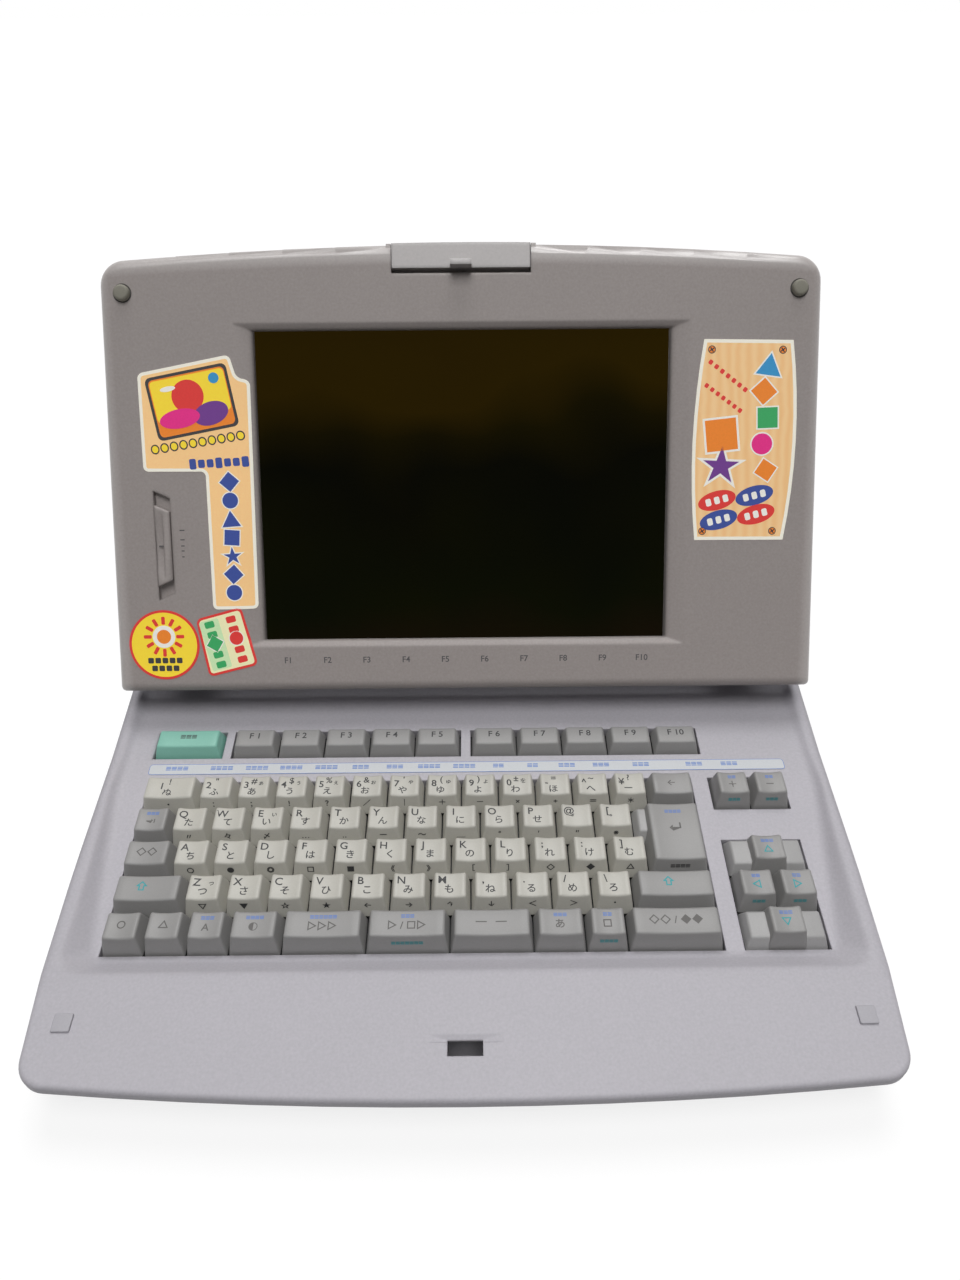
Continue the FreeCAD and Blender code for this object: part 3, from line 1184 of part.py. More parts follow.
feature("hinge_brackets", hinge_brackets(), DECK)
feature("hinge_pins", hinge_pins(), LID)


# ---------------------------------------------------------------- lid shells
def lid_outline():
    """Lid seen from the front: straight foot, slightly tapered sides, arched top."""
    foot, corner = -size.lid_foot, size.lid_corner
    low, high = size.lid_half_foot, size.lid_half_head
    arch = Part.Arc(Vector(high, corner, 0), Vector(0, size.lid_crown, 0), Vector(-high, corner, 0))
    points = [Vector(x, y, 0) for x, y in [(-high, corner), (-low, foot), (low, foot), (high, corner)]]
    edges = [arch.toShape()] + [Part.makeLine(a, b) for a, b in zip(points, points[1:])]
    solid = Part.Face(Part.Wire(edges)).extrude(Vector(0, 0, 1))
    for radius, above in ((size.lid_corner_radius, True), (size.wall, False)):
        upright = [edge for edge in solid.Edges if abs(edge.tangentAt(edge.FirstParameter).z) > 0.99
                   and (edge.CenterOfMass.y > corner - 1) == above
                   and (above or edge.CenterOfMass.y < foot + 1)]
        solid = solid.makeFillet(radius, upright)
    return next(face for face in solid.Faces if abs(face.CenterOfMass.z) < 1e-6)


LID_OUTLINE = lid_outline()
LID_INNER = LID_OUTLINE.makeOffset2D(-size.wall)
HINGE_GAP = 0.8


def hinge_windows(z_high):
    """Space swept by the hinge arms in the lid's foot."""
    half = size.hinge_width / 2 + HINGE_GAP
    return Part.makeCompound([block(side * size.hinge_offset - half, side * size.hinge_offset + half,
                                    -size.lid_foot - 5, 22, -size.lid_back - 5, z_high) for side in (-1, 1)])


def contrast_outline(length, width):
    """Recess or knob of the slider: its inner end is shorter than its outer side."""
    half, slant = length / 2, width * 0.45
    return [(-width / 2, -half), (width / 2, -half + slant), (width / 2, half - slant), (-width / 2, half)]


def placed(points, x, y):
    return [(x + px, y + py) for px, py in points]


def lid_bezel():
    face = size.lid_face
    shell = slab(LID_OUTLINE, -size.lid_parting, face)
    rim = [edge for edge in shell.Edges if abs(edge.CenterOfMass.z - face) < 1e-6]
    shell = shell.makeFillet(size.lid_edge_radius, rim)
    shell = shell.cut(slab(LID_INNER, -size.lid_parting, face - size.wall))
    half, foot, head = size.screen_width / 2, size.screen_foot, size.screen_foot + size.screen_height
    side, end = size.recess_side, size.recess_end
    window = loft(corners(-half, half, foot, head), face - size.recess_depth,
                  corners(-half - side, half + side, foot - end, head + end), face)
    shell = shell.cut(window)
    width = size.latch_width / 2 + CLEAR
    low = size.latch_foot - size.latch_gap
    floor = face - size.latch_thickness - CLEAR
    pocket_wall = block(-width - size.wall, width + size.wall, low - size.wall, size.lid_crown, floor - size.wall, face - 1)
    shell = shell.fuse(pocket_wall.common(slab(LID_OUTLINE, 0, face)))
    shell = shell.cut(block(-width, width, low, size.lid_crown + 5, floor, face + 1))
    x, y = -size.contrast_offset, size.contrast_rise
    outer = placed(contrast_outline(size.contrast_slot_length + 4, size.contrast_slot_width + 4), x, y)
    inner = placed(contrast_outline(size.contrast_slot_length, size.contrast_slot_width), x, y)
    floor = face - size.contrast_slot_depth
    shell = shell.fuse(prism_z(outer, floor - 1.5, face - 1)).cut(prism_z(inner, floor, face + 1))
    return shell.cut(hinge_windows(size.arm_thickness / 2 + 1.2)).removeSplitter()


def back_profile(inset):
    """Side outline of the rear shell, with the quarter-round at the hinge."""
    foot, deep, shallow = -size.lid_foot + inset, size.lid_back - inset, size.lid_back_top - inset
    seam = -size.lid_parting
    radius = deep - size.lid_parting
    start, bend, end = Vector(0, foot, seam), None, Vector(0, foot + radius, -deep)
    bend = Vector(0, foot + radius * (1 - math.cos(math.pi / 4)), seam - radius * math.sin(math.pi / 4))
    top = size.lid_crown + 5
    arc = Part.Arc(start, bend, end).toShape()
    points = [end, Vector(0, top, -shallow), Vector(0, top, seam), start]
    edges = [arc] + [Part.makeLine(a, b) for a, b in zip(points, points[1:])]
    face = Part.Face(Part.Wire(edges))
    wide = size.lid_half_foot + 5
    return face.translated(Vector(-wide, 0, 0)).extrude(Vector(2 * wide, 0, 0))


def lid_back_shell():
    depth = -size.lid_back - 5
    outer = back_profile(0).common(slab(LID_OUTLINE, depth, -size.lid_parting))
    inner = back_profile(size.wall).common(slab(LID_INNER, depth, -size.lid_parting))
    shell = outer.cut(inner).cut(hinge_windows(size.arm_thickness / 2 + 1.2))
    for side in (-1, 1):
        for end in (-1, 1):
            near = side * size.hinge_offset + end * (size.hinge_width / 2 + HINGE_GAP)
            far = side * size.hinge_offset + end * (size.hinge_width / 2 + size.pin_overhang)
            x0, x1 = sorted((near, far))
            shell = shell.fuse(block(x0, x1, -6, 6, -size.lid_back + size.wall / 2, 6))
    reach = size.hinge_offset + size.hinge_width
    return shell.cut(rod(size.hinge_pin_radius, (-reach, 0, 0), (reach, 0, 0))).removeSplitter()


feature("lid_bezel", lid_bezel(), LID)
feature("lid_back_shell", lid_back_shell(), LID)


# ---------------------------------------------------------------- pieces on the lid
def lcd_panel():
    body = new_body("lcd_panel", LID)
    sketch = new_sketch(body, "XY_Plane", "panel_outline", y="screen_foot + screen_height / 2",
                        z="lid_face - recess_depth - panel_thickness")
    rectangle(sketch, "screen_width + 2 * panel_border", "screen_height + 2 * panel_border")
    pad(body, sketch, "panel_thickness")


def lid_bumpers():
    bumpers = [sheet_cylinder(name, "bumper_radius", "bumper_height", across, "bumper_rise", "lid_face")
               for name, across in (("left_bumper", "0 - bumper_offset"), ("right_bumper", "bumper_offset"))]
    group("lid_bumpers", bumpers, LID)


def latch_bar():
    """Bar along the top edge of the lid with the hook that drops into the palm rest."""
    half, face = size.latch_width / 2, size.lid_face
    low, back = size.latch_foot, face - size.latch_thickness
    bar = block(-half, half, low, size.lid_crown + 5, back, face)
    bar = bar.common(slab(LID_OUTLINE, back, face))
    half_hook = size.hook_width / 2
    hook = block(-half_hook, half_hook, size.hook_rise - 0.6, size.hook_rise + 1.6, face - 1,
                 face + size.hook_length)
    barb = prism_x([(size.hook_rise + 1.5, face + size.hook_length), (size.hook_rise + 1.5, face + size.hook_length - 2),
                    (size.hook_rise + 2.4, face + size.hook_length - 1.6)], -half_hook, half_hook)
    return bar.fuse(hook).fuse(barb).removeSplitter()


def contrast_knob():
    knob = placed(contrast_outline(size.contrast_knob_length, size.contrast_knob_width),
                  -size.contrast_offset, size.contrast_rise)
    return prism_z(knob, size.lid_face - size.contrast_slot_depth + CLEAR, size.lid_face + size.contrast_knob_proud)


def lid_stickers():
    """Four paper stickers on the face beside the screen."""
    reach = size.screen_width / 2 + size.recess_side + CLEAR
    foot, face = size.screen_foot, size.lid_face
    ell = [(-48.9, 137.8), (-2.9, 146.3), (0, 143.8), (0, 16.8), (-16.6, 16.8), (-16.6, 88.8), (-48.9, 90.8)]
    barrel = [(7.2, 152), (52, 151.4), (55.9, 121.8), (55.9, 101.8), (50.9, 50.8), (4.2, 51.4), (1.5, 81.8),
              (2.1, 112.8)]
    plate = [(-25.4, 10.1), (-2.4, 15.8), (6.4, -12.7), (-17.9, -19.6)]
    outlines = [placed(ell, -reach, foot), placed(barrel, reach, foot), placed(plate, -reach, foot)]
    solids = [prism_z(points, face, face + size.sticker_thickness) for points in outlines]
    disc_x, disc_y = -reach - 43.1, foot - 2.1
    solids.append(rod(size.disc_radius, (disc_x, disc_y, face), (disc_x, disc_y, face + size.sticker_thickness)))
    return Part.makeCompound(solids)


lcd_panel()
lid_bumpers()
feature("latch_bar", latch_bar(), LID)
feature("contrast_knob", contrast_knob(), LID)
feature("lid_stickers", lid_stickers(), LID)


# ---------------------------------------------------------------- stand it on the table and write it out
def stand_on_origin():
    """Move every sub-part so that the middle of the whole box's underside is the origin."""
    whole = FreeCAD.BoundBox()
    for obj in parts:
        whole.add(obj.Shape.BoundBox)
    shift = Placement(Vector(-whole.Center.x, -whole.Center.y, -whole.ZMin), Rotation())
    for obj in parts:
        obj.Placement = shift * obj.Placement
    return shift


def check_document():
    for obj in doc.Objects:
        if "Invalid" in obj.State or "Error" in obj.State:
            raise RuntimeError("%s failed: %s" % (obj.Label, obj.State))
    for obj in parts:
        if obj.Shape.isNull() or not obj.Shape.isValid():
            raise RuntimeError("%s has no valid shape" % obj.Label)


doc.recompute()
check_document()
origin_shift = stand_on_origin()
doc.recompute()
check_document()
os.makedirs("parts", exist_ok=True)
for obj in parts:
    obj.Shape.exportStep("parts/%s.step" % obj.Label)
print("sub-parts", len(parts), "origin shift", origin_shift.Base)
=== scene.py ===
import json
import math

import bpy
from mathutils import Matrix, Vector


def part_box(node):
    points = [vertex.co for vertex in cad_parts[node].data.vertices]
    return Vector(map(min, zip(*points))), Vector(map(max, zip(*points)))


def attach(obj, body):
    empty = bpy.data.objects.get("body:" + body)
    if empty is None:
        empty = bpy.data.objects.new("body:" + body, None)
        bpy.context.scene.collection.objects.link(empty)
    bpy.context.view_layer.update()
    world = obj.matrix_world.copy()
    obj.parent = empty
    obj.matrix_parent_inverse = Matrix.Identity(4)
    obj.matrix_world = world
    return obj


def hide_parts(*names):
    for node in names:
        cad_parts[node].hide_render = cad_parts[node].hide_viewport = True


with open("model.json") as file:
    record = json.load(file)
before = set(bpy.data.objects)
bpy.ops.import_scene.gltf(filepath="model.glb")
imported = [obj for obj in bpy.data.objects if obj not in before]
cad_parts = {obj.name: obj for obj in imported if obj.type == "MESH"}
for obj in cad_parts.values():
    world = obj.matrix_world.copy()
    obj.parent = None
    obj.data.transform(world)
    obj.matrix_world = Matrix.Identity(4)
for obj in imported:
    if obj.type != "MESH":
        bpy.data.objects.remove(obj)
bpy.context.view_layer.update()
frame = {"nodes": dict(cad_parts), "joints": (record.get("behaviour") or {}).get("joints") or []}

# ------------------------ stage
# Pale floor under the machine, a camera at a seated user's eye, and the soft even light of
# a skylight and a large window. Nothing here is part of the machine.
CAMERA_PLACE = (0.0059, -0.3449, 0.4057)
CAMERA_TURN = (51.24, 0.28, -0.48)
CAMERA_LENS, CAMERA_SENSOR, CAMERA_NEAR = 26.6, 36, 0.01
FLOOR_SIZE = 8.0
BACKDROP_TONE, BACKDROP_GLOW = 0.24, 0.78
WHITE = (1, 1, 1, 1)
DAYLIGHT = 0.12
LIGHT_SPREAD = 32
SKYLIGHT = (0.10, 0.68, 1.7), 1.35
WINDOW = (0.05, -0.60, 1.6), 1.65

bpy.ops.object.select_all(action="DESELECT")
bpy.ops.object.camera_add(location=CAMERA_PLACE, rotation=[math.radians(turn) for turn in CAMERA_TURN])
camera = bpy.context.object
camera.name = "camera"
camera.data.lens = CAMERA_LENS
camera.data.sensor_width = CAMERA_SENSOR
camera.data.clip_start = CAMERA_NEAR
bpy.context.scene.camera = camera

bpy.ops.mesh.primitive_plane_add(size=FLOOR_SIZE)
floor = bpy.context.object
floor.name = "floor"


def wire(target, values):
    """Set inputs of a node: outputs of other nodes are linked, numbers and colours put in."""
    for place, value in values.items():
        if isinstance(value, bpy.types.NodeSocket):
            target.id_data.links.new(value, target.inputs[place])
        else:
            target.inputs[place].default_value = value


def node(tree, kind, values, **settings):
    """New node of a kind, with its settings and inputs set."""
    made = tree.nodes.new("ShaderNode" + kind)
    for setting, value in settings.items():
        setattr(made, setting, value)
    wire(made, values)
    return made


def inside(paint):
    """Node tree and shader of a material."""
    return paint.node_tree, paint.node_tree.nodes["Principled BSDF"]


def fresh(name):
    """New material, with its node tree and its shader."""
    paint = bpy.data.materials.new(name)
    paint.use_nodes = True
    return paint, *inside(paint)


def math_node(tree, kind, *values):
    """Result of a sum on outputs and numbers."""
    return node(tree, "Math", dict(enumerate(values)), operation=kind).outputs[0]


def seen_white(tree):
    """1 for rays from the eye and for rays that gloss or glass sends on, 0 for the light itself."""
    path = node(tree, "LightPath", {}).outputs
    seen = math_node(tree, "MAXIMUM", path["Is Camera Ray"], path["Is Glossy Ray"])
    return math_node(tree, "MAXIMUM", seen, path["Is Transmission Ray"])


def backdrop_paint():
    """Pale paper that keeps the machine's shadow and looks white to the eye and to reflections."""
    made, tree, unused = fresh("backdrop")
    tree.nodes.remove(unused)
    paper = node(tree, "BsdfDiffuse", {"Color": (BACKDROP_TONE, BACKDROP_TONE, BACKDROP_TONE, 1)}).outputs[0]
    glow = node(tree, "Emission", {"Strength": BACKDROP_GLOW}).outputs[0]
    lit = node(tree, "AddShader", {0: paper, 1: glow}).outputs[0]
    seen = node(tree, "MixShader", {0: seen_white(tree), 1: paper, 2: lit}).outputs[0]
    wire(tree.nodes["Material Output"], {"Surface": seen})
    return made


def daylight():
    """Even light from all round, with plain white behind the machine."""
    world = bpy.data.worlds.new("daylight")
    bpy.context.scene.world = world
    world.use_nodes = True
    tree = world.node_tree
    sky = tree.nodes["Background"]
    wire(sky, {"Color": WHITE, "Strength": DAYLIGHT})
    white = node(tree, "Background", {"Color": WHITE, "Strength": 1})
    seen = node(tree, "MixShader", {0: seen_white(tree), 1: sky.outputs[0], 2: white.outputs[0]})
    wire(tree.nodes["World Output"], {"Surface": seen.outputs[0]})


def soft_sun(name, place, power):
    """Even, soft-edged light that comes from the direction of a place."""
    bpy.ops.object.light_add(type="SUN", location=place)
    light = bpy.context.object
    light.name = name
    light.data.angle = math.radians(LIGHT_SPREAD)
    light.data.energy = power
    light.rotation_euler = (-Vector(place)).to_track_quat("-Z", "Y").to_euler()


floor.data.materials.append(backdrop_paint())
daylight()
soft_sun("skylight", *SKYLIGHT)
soft_sun("window", *WINDOW)
bpy.context.scene.view_settings.view_transform = "Standard"

# ------------------------ case shells
# Upper and lower half of the case, moulded in lavender grey plastic with a fine grain and
# screwed together from below. The palm rest rises round the sunk keyboard.
MM = 0.001
CASE_GREY = (0.418, 0.404, 0.438)
TRAY_HALF, TRAY_FRONT = 0.1665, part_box("space_key")[0][1] - 0.0015
TRAY_SLOPE, TRAY_ROUND = 0.018, 0.0050
TONE_PATCH, PLASTIC_SHINE = 0.06, 0.45


def object_place(tree):
    """Place on the piece itself, in metres."""
    return node(tree, "TexCoord", {}).outputs["Object"]


def mixed(tree, factor, low, high):
    """Colour that wanders between two tones; the factor is another node's output."""
    return node(tree, "Mix", {0: factor, 6: (*low, 1), 7: (*high, 1)}, data_type="RGBA").outputs[2]


def blended(tree, kind, first, second):
    """Colour made by adding or multiplying two outputs."""
    return node(tree, "Mix", {0: 1, 6: first, 7: second}, data_type="RGBA", blend_type=kind).outputs[2]


def noise(tree, size, detail=2.0):
    """Cloudy pattern whose patches are about the given size in metres."""
    cloud = node(tree, "TexNoise", {"Scale": 1 / size, "Detail": detail, "Vector": object_place(tree)})
    return cloud.outputs["Fac"]


def roughen(tree, shader, size, strength, depth):
    """Fine unevenness of a surface; gives back its node."""
    bump = node(tree, "Bump", {"Strength": strength, "Distance": depth, "Height": noise(tree, size)})
    wire(shader, {"Normal": bump.outputs[0]})
    return bump


def moulded(name, colour, roughness=0.5, grain=0.0006, depth=0.2, mottle=0.04, soften=0.0, fleck=0.07):
    """Moulded plastic with an eroded grain, a slightly uneven tone and softened corners."""
    paint, tree, shader = fresh(name)
    low = [channel * (1 - mottle) for channel in colour]
    high = [channel * (1 + mottle) for channel in colour]
    tone = mixed(tree, noise(tree, TONE_PATCH, 4), low, high)
    specks = mixed(tree, noise(tree, grain * 1.5), [1 - fleck] * 3, [1 + fleck] * 3)
    wire(shader, {"Roughness": roughness, "Specular IOR Level": PLASTIC_SHINE,
                  "Base Color": blended(tree, "MULTIPLY", tone, specks)})
    bump = roughen(tree, shader, grain, depth, grain / 6)
    if soften:
        wire(bump, {"Normal": node(tree, "Bevel", {"Radius": soften}, samples=4).outputs[0]})
    return paint


def reach_of(tree, along):
    """Outputs for the distance from the middle plane and the reach along an axis."""
    place = object_place(tree)
    split = node(tree, "SeparateXYZ", {0: place})
    reach = node(tree, "VectorMath", {0: place, 1: along}, operation="DOT_PRODUCT")
    return math_node(tree, "ABSOLUTE", split.outputs["X"]), reach.outputs["Value"]


def soften_tray(paint):
    """Draw the tray's rim much rounder than other corners, at its sides and along its front."""
    tree = paint.node_tree
    corner = next(one for one in tree.nodes if one.type == "BEVEL")
    corner.samples = 8
    side, reach = reach_of(tree, (0, -1, 0))
    beside = math_node(tree, "GREATER_THAN", side, TRAY_HALF)
    ahead = math_node(tree, "GREATER_THAN", reach, -TRAY_FRONT)
    near = math_node(tree, "LESS_THAN", reach, TRAY_SLOPE - TRAY_FRONT)
    rim = math_node(tree, "MULTIPLY", math_node(tree, "MAXIMUM", beside, ahead), near)
    plain = corner.inputs["Radius"].default_value
    wire(corner, {"Radius": math_node(tree, "MULTIPLY_ADD", rim, TRAY_ROUND - plain, plain)})


def coat(names, paint):
    """Give solids of the frame their finish."""
    for name in names:
        for slot in frame["nodes"][name].material_slots:
            slot.material = paint


case_plastic = moulded("case_plastic", CASE_GREY, 0.55, 0.0008, soften=0.0011, fleck=0.12)
soften_tray(case_plastic)
coat(("upper_case", "lower_case"), case_plastic)

# ------------------------ frames of the deck and the lid
# The keyboard deck slopes to the front and the lid leans back on its hinge. Pieces are made
# flat, in millimetres of deck or lid, and then set in place as one.
joints = {joint["name"]: joint for joint in frame["joints"]}
ACROSS = Vector((1, 0, 0))
HINGE = Vector(joints["lid_hinge"]["pos_m"])
HINGE_ON_DECK = Vector((0, 157.4, 25.4)) * MM


def square_frame(along, origin, point):
    """Matrix of a frame with a given second axis, in which point lies at origin."""
    turn = Matrix((ACROSS, along, ACROSS.cross(along))).transposed()
    return Matrix.Translation(Vector(origin) - turn @ Vector(point)) @ turn.to_4x4()


DECK = square_frame(Vector(joints["power_slide"]["axis"]).normalized(), HINGE, HINGE_ON_DECK)
LID = square_frame(-Vector(joints["latch_slide"]["axis"]).normalized(), HINGE, (0, 0, 0))


def choose(piece):
    """Leave one piece selected and active, in object mode."""
    if bpy.context.mode != "OBJECT":
        bpy.ops.object.mode_set(mode="OBJECT")
    bpy.ops.object.select_all(action="DESELECT")
    piece.select_set(True)
    bpy.context.view_layer.objects.active = piece


def settle(piece):
    """Put a piece's place, turn and size into its mesh."""
    choose(piece)
    bpy.ops.object.transform_apply(location=True, rotation=True, scale=True)
    return piece


def block(name, low, high):
    """Cuboid between two corners in millimetres."""
    low, high = Vector(low) * MM, Vector(high) * MM
    bpy.ops.mesh.primitive_cube_add(size=1, location=(low + high) / 2)
    piece = bpy.context.object
    piece.name = name
    piece.scale = high - low
    return settle(piece)


def pick(piece, kind, rule):
    """Select, in edit mode, the faces, edges or corners that satisfy a rule on middle and direction."""
    choose(piece)
    bpy.ops.object.mode_set(mode="EDIT")
    bpy.ops.mesh.select_mode(type=kind)
    bpy.ops.mesh.select_all(action="DESELECT")
    bpy.ops.object.mode_set(mode="OBJECT")
    mesh = piece.data
    if kind == "FACE":
        for face in mesh.polygons:
            face.select = rule(face.center, face.normal)
    elif kind == "EDGE":
        for edge in mesh.edges:
            start, end = (mesh.vertices[corner].co for corner in edge.vertices)
            edge.select = rule((start + end) / 2, (end - start).normalized())
    else:
        for corner in mesh.vertices:
            corner.select = rule(corner.co, corner.normal)
    bpy.ops.object.mode_set(mode="EDIT")


def whole(middle, direction):
    """Rule that everything satisfies."""
    return True


def round_edges(piece, rule, radius, segments=3):
    """Round, by a radius in millimetres, the edges that satisfy a rule."""
    pick(piece, "EDGE", rule)
    bpy.ops.mesh.bevel(offset=radius * MM, segments=segments, affect="EDGES")
    bpy.ops.object.mode_set(mode="OBJECT")


def smooth(piece, angle=35):
    """Shade a piece smooth where its faces meet at less than an angle in degrees."""
    choose(piece)
    bpy.ops.object.shade_smooth_by_angle(angle=math.radians(angle))
    return piece


def twin(piece, name, place):
    """Copy with its own mesh, moved by a step in millimetres."""
    choose(piece)
    bpy.ops.object.duplicate(linked=False)
    made = bpy.context.object
    made.name = name
    made.location = Vector(place) * MM
    return settle(made)


def united(name, pieces):
    """Join pieces into one, which keeps all their finishes."""
    choose(pieces[0])
    for piece in pieces:
        piece.select_set(True)
    bpy.ops.object.join()
    made = bpy.context.object
    made.name = name
    return made


def place_on(piece, base, body, slot, *nodes):
    """Set a finished piece on deck or lid, riding on a body and standing for nodes of the frame."""
    piece.matrix_world = base @ piece.matrix_world
    settle(piece)
    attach(piece, body)
    if nodes:
        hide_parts(*nodes)
    return piece


# ------------------------ key caps
# Hollow tapered caps in warm white and grey plastic, dished across for the finger, each
# pressed on the stem of its switch. They are moulded one by one and fill the wells in rows.
PITCH = 19.0
BLOCK_LEFT = -163.875
CLUSTER_LEFT = BLOCK_LEFT + 15.25 * PITCH
KEY_GAP = 0.6
KEY_TOP, SHELF_TOP, KEY_SKIRT = 9.5, 4.5, 2.0
SIDE_DRAFT, FRONT_DRAFT, BACK_DRAFT = 1.9, 3.3, 2.4
KEY_ROUND = 1.1
DISH = 0.85
DISH_CUTS = (-0.8, -0.6, -0.4, -0.2, 0, 0.2, 0.4, 0.6, 0.8)
UPRIGHT, TOUCH, SAME = 0.9, 0.1, 0.001


def cap_plastic(name, colour):
    """Plastic of the caps, finer grained than that of the case."""
    return moulded(name, colour, 0.42, 0.0004, 0.12, 0.03)


light_key = cap_plastic("light_key_plastic", (0.460, 0.449, 0.407))
grey_key = cap_plastic("grey_key_plastic", (0.264, 0.260, 0.256))
# Lighter copy of the grey cap plastic for the low shelves, which are the same grey: painted light on their
# tops.
lit_shelf_key = cap_plastic("shelf_key_plastic", (0.325, 0.321, 0.320))
mint_key = cap_plastic("mint_key_plastic", (0.215, 0.48, 0.392))


def top_half(width):
    """Half the width of a cap's dish, which ends where the rounding of the top's edges starts."""
    return (width - KEY_GAP) / 2 - SIDE_DRAFT - KEY_ROUND


def sink(across, width, dish):
    """Depth of the dish at a place across the cap."""
    return dish * max(0.0, 1 - (across / top_half(width)) ** 2)


def cap(paint, width, depth=PITCH, top=KEY_TOP, dish=DISH):
    """Cap over a cell of the given width and depth, about the middle of the cell."""
    wide, deep = width - KEY_GAP, depth - KEY_GAP
    piece = block("cap", (-wide / 2, -deep / 2, -KEY_SKIRT), (wide / 2, deep / 2, top))
    pick(piece, "FACE", lambda middle, normal: normal.z > UPRIGHT)
    bpy.ops.transform.resize(value=(1 - 2 * SIDE_DRAFT / wide, 1 - (FRONT_DRAFT + BACK_DRAFT) / deep, 1),
                             center_override=(0, 0, top * MM))
    bpy.ops.transform.translate(value=(0, (FRONT_DRAFT - BACK_DRAFT) / 2 * MM, 0))
    round_edges(piece, lambda middle, along: middle.z > (TOUCH - KEY_SKIRT) * MM, KEY_ROUND)
    if dish:
        for cut in DISH_CUTS:
            pick(piece, "FACE", whole)
            bpy.ops.mesh.bisect(plane_co=(cut * top_half(width) * MM, 0, 0), plane_no=(1, 0, 0))
        for cut in DISH_CUTS:
            line = cut * top_half(width)
            pick(piece, "VERT", lambda place, normal: abs(place.x - line * MM) < SAME * MM
                 and place.z > (top - KEY_ROUND - TOUCH) * MM)
            bpy.ops.transform.translate(value=(0, 0, -sink(line, width, dish) * MM))
    bpy.ops.object.mode_set(mode="OBJECT")
    piece.data.materials.append(paint)
    return smooth(piece, 40)


# ------------------------ key legends
# Signs printed in dark ink on the caps: the letter or figure at the upper left, the second
# sign beside it and a small sign on the front. Keys with a task of their own get plain signs.
INK_LIFT, INK_SPREAD = 0.03, 0.014
FRONT_TILT = math.atan2(KEY_TOP + KEY_SKIRT, FRONT_DRAFT)
LETTER_SIZE, SECOND_SIZE, SMALL_SIZE, FRONT_SIZE = 5.4, 4.9, 3.3, 4.2
LETTER_PLACE, SECOND_PLACE = (-3.7, 2.8), (-0.4, -1.9)
ROW_SIZE = 3.6
FIGURE_PLACE, SHIFTED_PLACE, SMALL_PLACE, SYLLABLE_PLACE = (-4.2, 1.2), (-0.6, 3.9), (3.0, 2.4), (-1.0, -2.7)


def printing_ink(name, colour):
    """Flat ink printed on plastic."""
    return moulded(name, colour, 0.6, 0.0005, 0.05, 0.1)


dark_ink = printing_ink("dark_ink", (0.030, 0.030, 0.032))
blue_ink = printing_ink("blue_ink", (0.085, 0.19, 0.52))
teal_ink = printing_ink("teal_ink", (0.03, 0.30, 0.33))
pale_ink = printing_ink("pale_ink", (0.10, 0.095, 0.092))


def sign(text, size, ink, spread=INK_SPREAD):
    """Flat printed sign about the origin, facing up."""
    bpy.ops.object.select_all(action="DESELECT")
    bpy.ops.object.text_add()
    writing = bpy.context.object
    writing.data.body = text
    writing.data.size = size * MM
    writing.data.align_x = "CENTER"
    writing.data.align_y = "CENTER"
    writing.data.resolution_u = 3
    writing.data.offset = spread * size * MM
    bpy.ops.object.convert(target="MESH")
    made = bpy.context.object
    made.data.materials.append(ink)
    return made


def top_sign(text, size, ink, place, width, top=KEY_TOP, dish=DISH):
    """Sign that lies in the dish of a cap, at a place from the middle of the cell."""
    made = sign(text, size, ink)
    made.location = (place[0] * MM, place[1] * MM, 0)
    settle(made)
    for corner in made.data.vertices:
        corner.co.z = (top - sink(corner.co.x / MM, width, dish) + INK_LIFT) * MM
    return made


def front_sign(text, size, ink, depth=PITCH, height=4.6):
    """Sign on the sloping front of a cap."""
    made = sign(text, size, ink)
    made.rotation_euler = (FRONT_TILT, 0, 0)
    front = -(depth - KEY_GAP) / 2 + (height + KEY_SKIRT) / math.tan(FRONT_TILT)
    made.location = (0, (front - INK_LIFT) * MM, height * MM)
    return settle(made)


key_masters = {}
key_groups = {}
sign_groups = {}


def set_key(group, paint, left, front, width, signs=(), depth=PITCH, top=KEY_TOP, dish=DISH):
    """Put a copy of the cap of this size into its cell, with the signs printed on it."""
    kind = (paint.name, width, depth, top, dish)
    if kind not in key_masters:
        key_masters[kind] = cap(paint, width, depth, top, dish)
    middle = (left + width / 2, front + depth / 2, 0)
    key_groups.setdefault(group, []).append(twin(key_masters[kind], group, middle))
    for mark in signs:
        mark.location = Vector(middle) * MM
        sign_groups.setdefault(group, []).append(settle(mark))


def dark_signs(tops, front, width=PITCH):
    """Signs of a figure or letter key: rows of text, size and place for its top, and one for its front."""
    marks = [top_sign(text, size, dark_ink, place, width) for text, size, place in tops if text]
    return marks + [front_sign(front, FRONT_SIZE, dark_ink)]


def plain_signs(main, width, upper=None, front=None, ink=None):
    """Signs of a grey key: a plain figure, a row of blue marks above it and one on the front."""
    marks = [top_sign(main, SECOND_SIZE, ink or pale_ink, (-0.3, -0.9 if upper else 0.6), width)]
    if upper:
        marks.append(top_sign(upper, ROW_SIZE, blue_ink, (0, 3.6), width))
    if front:
        marks.append(front_sign(front, ROW_SIZE, teal_ink))
    return marks


# ------------------------ number row
# Thirteen figure keys in warm white, the first half as wide again, and a grey key that
# rubs out. Each figure key carries a figure, its shifted sign and a syllable.
FIGURES = (("1", "!", "ぬ", ""), ("2", '"', "ふ", ""), ("3", "#", "あ", "ぁ"), ("4", "$", "う", "ぅ"),
           ("5", "%", "え", "ぇ"), ("6", "&", "お", "ぉ"), ("7", "'", "や", "ゃ"), ("8", "(", "ゆ", "ゅ"),
           ("9", ")", "よ", "ょ"), ("0", "±", "わ", "を"), ("-", "=", "ほ", ""), ("^", "~", "へ", ""),
           ("¥", "?", "ー", ""))
FIGURE_FRONTS = "・：；！？／｜＋－×÷＝＊"

